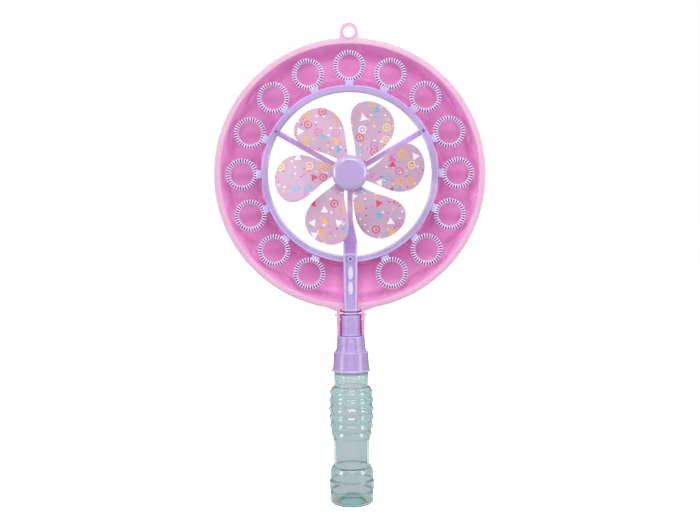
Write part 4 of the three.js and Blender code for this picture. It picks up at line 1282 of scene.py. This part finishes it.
def foot_outline(end):
    """The lower arm along +X, which widens to the bar's width before its end."""
    narrow = ARM_WIDTH / 2
    wide = BAR_WIDTH / 2
    upper = [
        (0.0, narrow),
        (end - FOOT_LENGTH - FOOT_FLARE, narrow, FOOT_FILLET),
        (end - FOOT_LENGTH, wide, FOOT_FILLET),
        (end, wide),
    ]
    lower = [(x, -y, *fillet) for x, y, *fillet in upper]
    return rounded(lower + upper[::-1])


def arm_form(wide_foot):
    """One arm along +X, with a tongue that enters the ring. The wide one has a channel in its foot."""
    end = RING_INNER - 2 * CLEARANCE
    narrow = ARM_WIDTH / 2
    outline = [(0.0, -narrow), (end, -narrow), (end, narrow), (0.0, narrow)]
    if wide_foot:
        outline = foot_outline(end)
    arm = plate(outline, SPIDER_FRONT, spider_high.y)
    if wide_foot:
        inside = BAR_WIDTH / 2 - BAR_RAIL
        floor = SPIDER_FRONT + FOOT_CHANNEL
        arm = cut(arm, block(
            end - FOOT_LENGTH, end - BAR_RAIL, SPIDER_FRONT - OVERSHOOT, floor, -inside, inside
        ))
    arm = softened(arm, FULL_ROUND, FULL_BEVEL_STEPS)
    tongue_front = RING_FRONT + RING_FACE + CLEARANCE
    tongue_end = RING_OUTER - RING_WALL - CLEARANCE
    half = TONGUE_WIDTH / 2
    tongue = block(end - narrow, tongue_end, tongue_front, tongue_front + TONGUE_THICKNESS, -half, half)
    return join(arm, softened(tongue, FINE_ROUND))


def spider_form():
    front = spider_low.y
    back = spider_high.y
    hub = turned_on_axis([
        (0.0, front),
        (SPIDER_BOSS_RADIUS, front, FULL_ROUND),
        (SPIDER_BOSS_RADIUS, SPIDER_FRONT, FULL_ROUND),
        (SPIDER_HUB_RADIUS, SPIDER_FRONT, BROAD_ROUND),
        (SPIDER_HUB_RADIUS, back, BROAD_ROUND),
        (0.0, back),
    ])
    arms = [about_axis(arm_form(arm == 0), arm_angle(arm)) for arm in range(ARM_COUNT)]
    hole = rod(AXLE_BORE, front - OVERSHOOT, back + OVERSHOOT, AXIS_Z, FINE_SEGMENTS)
    return cut(join(hub, *arms), hole)


def pin_form(low, high):
    """A pin whose round head has a dimple in its middle."""
    head_back = low.y + PIN_HEAD_HEIGHT
    dimple = low.y + PIN_DIMPLE_DEPTH
    pin = turned_on_axis([
        (0.0, dimple),
        (PIN_DIMPLE_FLOOR, dimple, HAIR_ROUND),
        (PIN_DIMPLE_RADIUS, low.y, HAIR_ROUND),
        (PIN_CROWN_RADIUS, low.y, HAIR_ROUND),
        (PIN_HEAD_RADIUS, head_back, HAIR_ROUND),
        (PIN_RADIUS, head_back),
        (PIN_RADIUS, high.y, SLIGHT_ROUND),
        (0.0, high.y),
    ], FINE_SEGMENTS)
    return lifted(pin, (low.x + high.x) / 2, 0.0, (low.z + high.z) / 2 - AXIS_Z)


def axle_form():
    head = axle_high.x
    head_back = axle_low.y + AXLE_HEAD_HEIGHT
    tail_front = axle_high.y - AXLE_HEAD_HEIGHT
    return turned_on_axis([
        (0.0, axle_low.y),
        (head, axle_low.y, FULL_ROUND),
        (head, head_back, FINE_ROUND),
        (AXLE_RADIUS, head_back),
        (AXLE_RADIUS, tail_front),
        (head, tail_front, FINE_ROUND),
        (head, axle_high.y, AXLE_TAIL_ROUND),
        (0.0, axle_high.y),
    ], FINE_SEGMENTS)


def washer_form():
    return turned_on_axis([
        (AXLE_BORE, washer_low.y, SLIGHT_ROUND),
        (washer_high.x, washer_low.y, FINE_ROUND),
        (washer_high.x, washer_high.y, FINE_ROUND),
        (AXLE_BORE, washer_high.y, SLIGHT_ROUND),
    ], FINE_SEGMENTS)


def spider_paint(face):
    """Lavender on the upper arms' blocks at the ring, painted highlight in lilac on the rails of the foot,
    and elsewhere the arm violet, painted lighter towards the hub.
    """
    centre = face.calc_center_bounds()
    radius = from_axis(centre)
    if centre.z > AXIS_Z:
        return LAVENDER if radius > RING_INNER - BLOCK_LENGTH else HUB_LIT_ARM_VIOLET
    on_foot = radius > RING_INNER - FOOT_LENGTH
    on_rails = on_foot and centre.y < SPIDER_FRONT + FOOT_CHANNEL - PAINT_MARGIN
    return HIGHLIGHT_LILAC if on_rails else HUB_LIT_ARM_VIOLET


def make_wand():
    dress_painted("stem", stem_form(), stem_paint, LAVENDER, LIT_PALE_LAVENDER, HIGHLIGHT_LILAC, GROOVE_SHADE_VIOLET)
    dress_painted("wand_ring", ring_form(), ring_paint, LAVENDER, HIGHLIGHT_LILAC, LIT_PALE_LAVENDER)
    spider = spider_form()
    # An edge across the foot, where its colour changes
    bmesh.ops.bisect_plane(
        spider, geom=[*spider.verts, *spider.edges, *spider.faces],
        plane_co=(0, 0, AXIS_Z - RING_INNER + FOOT_LENGTH), plane_no=(0, 0, 1),
    )
    dress_painted("windmill_spider", spider, spider_paint, HUB_LIT_ARM_VIOLET, LAVENDER, HIGHLIGHT_LILAC)
    for arm in range(ARM_COUNT):
        node = f"spider_pin_{arm + 1}"
        dress(node, pin_form(*box_of(node)), DOT_VIOLET)
    dress("axle_pin", axle_form(), STEEL)
    dress("spacing_washer", washer_form(), WHITE)


# Windmill


def cap_form():
    radius = cap_high.x
    front = cap_low.y
    back = cap_high.y
    roof = front + CAP_WALL
    inside = radius - CAP_WALL
    socket_bore = REAR_SLEEVE_RADIUS + CLEARANCE
    socket_outer = socket_bore + SOCKET_WALL
    edge_depth = CAP_EDGE_SHARE * (back - front)
    edge = []
    for step in range(CAP_EDGE_STEPS + 1):
        angle = math.pi / 2 * step / CAP_EDGE_STEPS
        edge.append((
            radius - CAP_EDGE * (1 - math.sin(angle)),
            front + edge_depth * (1 - math.cos(angle)),
        ))
    return turned_on_axis([
        (0.0, front),
        *edge,
        (radius, back, EDGE_ROUND),
        (inside, back, EDGE_ROUND),
        (inside, roof, CAP_ROOF_FILLET),
        (socket_outer, roof, SOFT_ROUND),
        (socket_outer, back, FINE_ROUND),
        (socket_bore, back, FINE_ROUND),
        (socket_bore, roof),
        (0.0, roof),
    ])


def rear_hub_form():
    plate_front = rear_low.y + REAR_SPIGOT_LENGTH
    plate_back = plate_front + REAR_PLATE_THICKNESS
    return turned_on_axis([
        (AXLE_BORE, rear_low.y, FINE_ROUND),
        (REAR_SLEEVE_RADIUS, rear_low.y, EDGE_ROUND),
        (REAR_SLEEVE_RADIUS, plate_front, FINE_ROUND),
        (rear_high.x, plate_front, SOFT_ROUND),
        (rear_high.x, plate_back, FULL_ROUND),
        (REAR_SLEEVE_RADIUS, plate_back, SOFT_ROUND),
        (REAR_SLEEVE_RADIUS, rear_high.y, EDGE_ROUND),
        (AXLE_BORE, rear_high.y, FINE_ROUND),
    ])


def blade_half_width(distance):
    if distance > BLADE_WIDEST:
        past = (distance - BLADE_WIDEST) / BLADE_TIP_LENGTH
        return BLADE_WIDTH / 2 * math.sqrt(max(0, 1 - past ** 2))
    swell = ease((distance - BLADE_ROOT) / (BLADE_WIDEST - BLADE_ROOT))
    return BLADE_ROOT_WIDTH / 2 + (BLADE_WIDTH - BLADE_ROOT_WIDTH) / 2 * swell


def blade_point(distance, across, back):
    """A point of the blade's back, flat under the cap, then leaning and pitched."""
    past_cap = distance - cap_high.x
    lean = BLADE_LEAN_ROOT + (BLADE_LEAN_TIP - BLADE_LEAN_ROOT) * ease(past_cap / BLADE_LEAN_REACH)
    side = across * blade_half_width(distance)
    twist = math.tan(BLADE_PITCH) * side * ease(past_cap / (BLADE_WIDEST - cap_high.x))
    return Vector((distance, back - twist, lean + side))


def blade_rows():
    """Distances from the axis, closer together round the tip."""
    root_rows = BLADE_ROWS // 2
    tip_rows = BLADE_ROWS - root_rows
    rows = [BLADE_ROOT + (BLADE_WIDEST - BLADE_ROOT) * i / root_rows for i in range(root_rows)]
    for i in range(tip_rows + 1):
        rows.append(BLADE_WIDEST + BLADE_TIP_LENGTH * math.sin(BLADE_TIP_SWEEP * i / tip_rows))
    return rows


def blade_sheet(bm, back, offset):
    """One face of the blade as a grid. Returns the points round its edge."""
    grid = []
    for distance in blade_rows():
        row = []
        for j in range(BLADE_COLUMNS + 1):
            point = blade_point(distance, 2 * j / BLADE_COLUMNS - 1, back)
            row.append(bm.verts.new(point + Vector((0, offset, 0))))
        grid.append(row)
    for low, high in zip(grid, grid[1:]):
        for j in range(BLADE_COLUMNS):
            bm.faces.new((low[j], low[j + 1], high[j + 1], high[j]))
    one_side = [row[0] for row in grid]
    other_side = [row[-1] for row in grid[-2::-1]]
    return one_side + grid[-1][1:] + other_side + grid[0][-2:0:-1]


def blade_form():
    """One blade along +X: a thin twisted petal with a rounded edge."""
    back = rear_low.y + REAR_SPIGOT_LENGTH - CLEARANCE
    bm = bmesh.new()
    first, second = [blade_sheet(bm, back, offset) for offset in (0.0, -BLADE_THICKNESS)]
    for i in range(len(first)):
        bm.faces.new((first[i - 1], first[i], second[i], second[i - 1]))
    bmesh.ops.recalc_face_normals(bm, faces=bm.faces)
    return softened(bm, FINE_ROUND)


def make_windmill():
    dress("hub_cap", cap_form(), EDGE_LIT_CAP_LAVENDER)
    dress("rear_hub", rear_hub_form(), LAVENDER)
    base = blade_form()
    for i in range(BLADE_COUNT):
        angle = BLADE_FIRST_ANGLE + 2 * math.pi * i / BLADE_COUNT
        dress(f"blade_{i + 1}", about_axis(base.copy(), angle), BLUSH)
    base.free()


# Handle


def collar_form():
    bore = FINISH_RADIUS + 2 * CLEARANCE
    base = collar_low.z
    top = collar_high.z
    lip_top = base + COLLAR_LIP_HEIGHT
    skirt_top = bore + COLLAR_WALL
    skirt_foot = skirt_top + SKIRT_TAPER
    lip = skirt_foot + COLLAR_LIP
    socket = BARREL_RADIUS + CLEARANCE
    turning = lathe(rounded([
        (bore, base, EDGE_ROUND),
        (lip, base, SOFT_ROUND),
        (lip, lip_top, SOFT_ROUND),
        (skirt_foot, lip_top, COLLAR_LIP_FILLET),
        (skirt_top, COLLAR_STEP, COLLAR_STEP_FILLET),
        (COLLAR_NECK_RADIUS + COLLAR_NECK_FLARE, COLLAR_STEP, SOFT_ROUND),
        (COLLAR_NECK_RADIUS, COLLAR_STEP + COLLAR_NECK_FLARE_HEIGHT, COLLAR_NECK_FILLET),
        (COLLAR_NECK_RADIUS - COLLAR_NECK_TAPER, top, BROAD_ROUND),
        (socket, top, EDGE_ROUND),
        (socket, stem_low.z),
        (bore, stem_low.z),
    ]), SEGMENTS)
    half = COLLAR_PAD_WIDTH / 2
    pad = block(
        -half, half, -(COLLAR_NECK_RADIUS + COLLAR_PAD_PROUD), -(socket + COLLAR_WALL / 2),
        COLLAR_STEP - COLLAR_WALL / 2, COLLAR_STEP + COLLAR_PAD_HEIGHT,
    )
    return join(turning, softened(pad, COLLAR_PAD_EDGE))


def collar_paint(face):
    """Painted highlights in lilac on the round edges: the top, the step, the lip and the outline of the
    pad.
    """
    centre = face.calc_center_bounds()
    on_top = centre.z > collar_high.z - COLLAR_EDGE
    on_step = COLLAR_STEP - COLLAR_EDGE < centre.z < COLLAR_STEP + PAINT_MARGIN
    on_lip = centre.z < collar_low.z + COLLAR_LIP_HEIGHT + EDGE_ROUND
    outside = math.hypot(centre.x, centre.y) > BARREL_RADIUS + COLLAR_WALL
    if outside and (on_top or on_step or on_lip):
        return HIGHLIGHT_LILAC
    in_front = centre.y < COLLAR_PAD_REACH - COLLAR_NECK_RADIUS
    across = abs(centre.x) < COLLAR_PAD_WIDTH / 2 + PAINT_MARGIN
    upward = COLLAR_STEP < centre.z < COLLAR_STEP + COLLAR_PAD_HEIGHT + PAINT_MARGIN
    tilt = abs(face.normal.x) + abs(face.normal.z)
    on_edge = face.normal.y > -PAD_FACE_NORMAL and tilt > PAD_EDGE_TILT
    return HIGHLIGHT_LILAC if in_front and across and upward and on_edge else LAVENDER


def grip_envelope(height):
    """The radius of the ribs' crests, largest at the fullest rib."""
    fullest = RIBS_BASE + (FULLEST_RIB - 0.5) * RIB_PITCH
    reach = (FULLEST_RIB - 1) * RIB_PITCH
    return bottle_high.x - GRIP_SWELL * ((height - fullest) / reach) ** 2


def bottle_side(inset):
    """One side of the wall from the base up to the last rib, moved in from the outside by an inset."""
    base = BASE_RADIUS - inset
    band = BAND_RADIUS - inset
    waist = WAIST_RADIUS - inset
    side = [
        (base, BASE_HEIGHT - BAND_GROOVE, BROAD_ROUND),
        (base - BAND_GROOVE, BASE_HEIGHT, FULL_ROUND),
        (band, BASE_HEIGHT + BAND_GROOVE, BAND_FILLET),
        (band, HIP_BASE - BAND_GROOVE, BAND_FILLET),
        (base - BAND_GROOVE, HIP_BASE, FULL_ROUND),
        (base, HIP_BASE + BAND_GROOVE, BAND_FILLET),
        (base, HIP_BASE + HIP_STRAIGHT),
    ]
    for step in range(1, HIP_STEPS + 1):
        angle = math.pi / 2 * step / HIP_STEPS
        side.append((
            waist + (BASE_RADIUS - WAIST_RADIUS) * math.cos(angle),
            HIP_BASE + HIP_STRAIGHT + (HIP_HEIGHT - HIP_STRAIGHT - inset) * math.sin(angle),
        ))
    for step in range(1, FLUTE_ROWS):
        side.append((waist, WAIST_BASE + WAIST_HEIGHT * step / FLUTE_ROWS))
    for step in range(RIB_COUNT * RIB_STEPS + 1):
        height = RIBS_BASE + step / RIB_STEPS * RIB_PITCH
        dip = (1 + math.cos(2 * math.pi * step / RIB_STEPS)) / 2
        side.append((grip_envelope(height) - RIB_DEPTH * dip - inset, height))
    return side


def bottle_profile():
    """The bottle's outside from its base up, then its inside down again."""
    mouth = bottle_high.z
    bore = FINISH_RADIUS - FINISH_WALL
    inner_neck = NECK_RADIUS - BOTTLE_WALL
    inner_top = NECK_TOP - BOTTLE_WALL
    half = BOTTLE_WALL / 2
    return rounded([
        (0.0, PUSH_UP_HEIGHT),
        (PUSH_UP_TOP_RADIUS, PUSH_UP_HEIGHT, PUSH_UP_FILLET),
        (PUSH_UP_RADIUS, 0.0, PUSH_UP_EDGE_FILLET),
        (BASE_RADIUS, 0.0, HEEL_RADIUS),
        *bottle_side(0.0),
        (NECK_RADIUS, NECK_BASE, NECK_FILLET),
        (NECK_RADIUS, NECK_TOP - 2 * BOTTLE_WALL),
        (NECK_RADIUS, NECK_TOP, BROAD_ROUND),
        (FINISH_RADIUS, NECK_TOP, SOFT_ROUND),
        (FINISH_RADIUS, mouth, FULL_ROUND),
        (bore, mouth, FULL_ROUND),
        (bore, inner_top, NECK_FILLET),
        (inner_neck, inner_top, BROAD_ROUND),
        (inner_neck, NECK_BASE, NECK_FILLET),
        *bottle_side(BOTTLE_WALL)[::-1],
        (BASE_RADIUS - BOTTLE_WALL, BOTTLE_WALL, HEEL_RADIUS - BOTTLE_WALL),
        (PUSH_UP_RADIUS + half, BOTTLE_WALL, PUSH_UP_EDGE_FILLET),
        (PUSH_UP_TOP_RADIUS + half, PUSH_UP_HEIGHT + BOTTLE_WALL, PUSH_UP_INNER_FILLET),
        (0.0, PUSH_UP_HEIGHT + BOTTLE_WALL),
    ])


def bottle_form():
    """The turned bottle, with shallow flutes pressed into its waist."""
    bm = lathe(bottle_profile(), BOTTLE_SEGMENTS)
    for vert in bm.verts:
        inset = min(vert.co.z - WAIST_BASE, RIBS_BASE - vert.co.z)
        depth = FLUTE_DEPTH * ease(inset / FLUTE_INSET)
        if depth <= 0:
            continue
        angle = math.atan2(vert.co.x, -vert.co.y)
        radius = math.hypot(vert.co.x, vert.co.y)
        scale = 1 - depth * ease((math.cos(FLUTE_COUNT * angle) + 1) / 2) / radius
        vert.co.x *= scale
        vert.co.y *= scale
    return bm


def bottle_paint(face):
    """Deeper teal in the push-up, a faint line of painted shade in the valleys between the ribs, a hazy
    neck top.
    """
    centre = face.calc_center_bounds()
    if centre.z > NECK_TOP - 2 * BOTTLE_WALL + FINE_MARGIN:
        return HAZY_TEAL
    phase = (centre.z - RIBS_BASE) / RIB_PITCH
    valley = round(phase)
    if 0 <= valley < RIB_COUNT and abs(phase - valley) < VALLEY_SHARE:
        return VALLEY_SHADE_TEAL
    in_push_up = math.hypot(centre.x, centre.y) < PUSH_UP_RADIUS + 2 * PAINT_MARGIN
    return DEEP_TEAL if in_push_up and centre.z < PUSH_UP_HEIGHT + 2 * BOTTLE_WALL else TEAL


def liner_form():
    radius = liner_high.x
    return lathe(rounded([
        (0.0, liner_low.z),
        (radius, liner_low.z, EDGE_ROUND),
        (radius, liner_high.z, EDGE_ROUND),
        (0.0, liner_high.z),
    ]), SEGMENTS)


def make_handle():
    dress_painted("collar", collar_form(), collar_paint, LAVENDER, HIGHLIGHT_LILAC)
    dress("sealing_liner", liner_form(), FOAM)
    dress_painted("bottle", bottle_form(), bottle_paint, TEAL, DEEP_TEAL, HAZY_TEAL, VALLEY_SHADE_TEAL)


# Studio


def add_camera():
    data = bpy.data.cameras.new("camera")
    data.lens = CAMERA_LENS
    data.sensor_width = CAMERA_SENSOR
    data.shift_y = CAMERA_SHIFT
    camera = placed("camera", data)
    camera.location = CAMERA_PLACE
    camera.rotation_euler = (math.pi / 2, CAMERA_ROLL, 0.0)
    bpy.context.scene.camera = camera


def add_softbox(name, place, width, height, power):
    data = bpy.data.lights.new(name, "AREA")
    data.shape = "RECTANGLE"
    data.size = width
    data.size_y = height
    data.energy = power
    light = placed(name, data)
    light.location = place
    light.rotation_euler = (Vector(LIGHT_AIM) - Vector(place)).to_track_quat("-Z", "Y").to_euler()
    return light


def add_world():
    """Bright white to the camera and softer light to the object."""
    world = bpy.data.worlds.new("studio")
    world.use_nodes = True
    tree = world.node_tree
    background = tree.nodes["Background"]
    background.inputs["Color"].default_value = (1, 1, 1, 1)
    path = tree.nodes.new("ShaderNodeLightPath")
    strength = tree.nodes.new("ShaderNodeMapRange")
    strength.inputs["To Min"].default_value = AMBIENT_LIGHT
    strength.inputs["To Max"].default_value = BACKDROP_LIGHT
    seen = calculated(tree, "MAXIMUM", path.outputs["Is Camera Ray"], path.outputs["Is Transmission Ray"])
    tree.links.new(seen, strength.inputs["Value"])
    tree.links.new(strength.outputs["Result"], background.inputs["Strength"])
    bpy.context.scene.world = world


def add_floor():
    bm = bmesh.new()
    bmesh.ops.create_circle(bm, cap_ends=True, radius=FLOOR_RADIUS, segments=SEGMENTS)
    material, tree, shader = new_material("pale_floor")
    colour = drifting_colour(tree, FLOOR_DRIFT, (248, 248, 248), (252, 252, 252))
    tree.links.new(colour, shader.inputs["Base Color"])
    shader.inputs["Roughness"].default_value = FLOOR_ROUGHNESS
    shader.inputs["Emission Color"].default_value = (1, 1, 1, 1)
    shader.inputs["Emission Strength"].default_value = FLOOR_GLOW
    floor = placed("floor", mesh_from("floor", bm))
    floor.data.materials.append(material)
    floor.visible_diffuse = False
    floor.visible_glossy = False


def add_studio():
    add_world()
    add_floor()
    for name, values in SOFTBOXES.items():
        add_softbox(name, *values)
    for name, values in FILLS.items():
        fill = add_softbox(name, *values)
        fill.visible_glossy = False
        fill.visible_transmission = False
    bpy.context.scene.view_settings.view_transform = "Standard"


add_camera()
make_dish()
make_loops()
make_wand()
make_windmill()
make_handle()
add_studio()
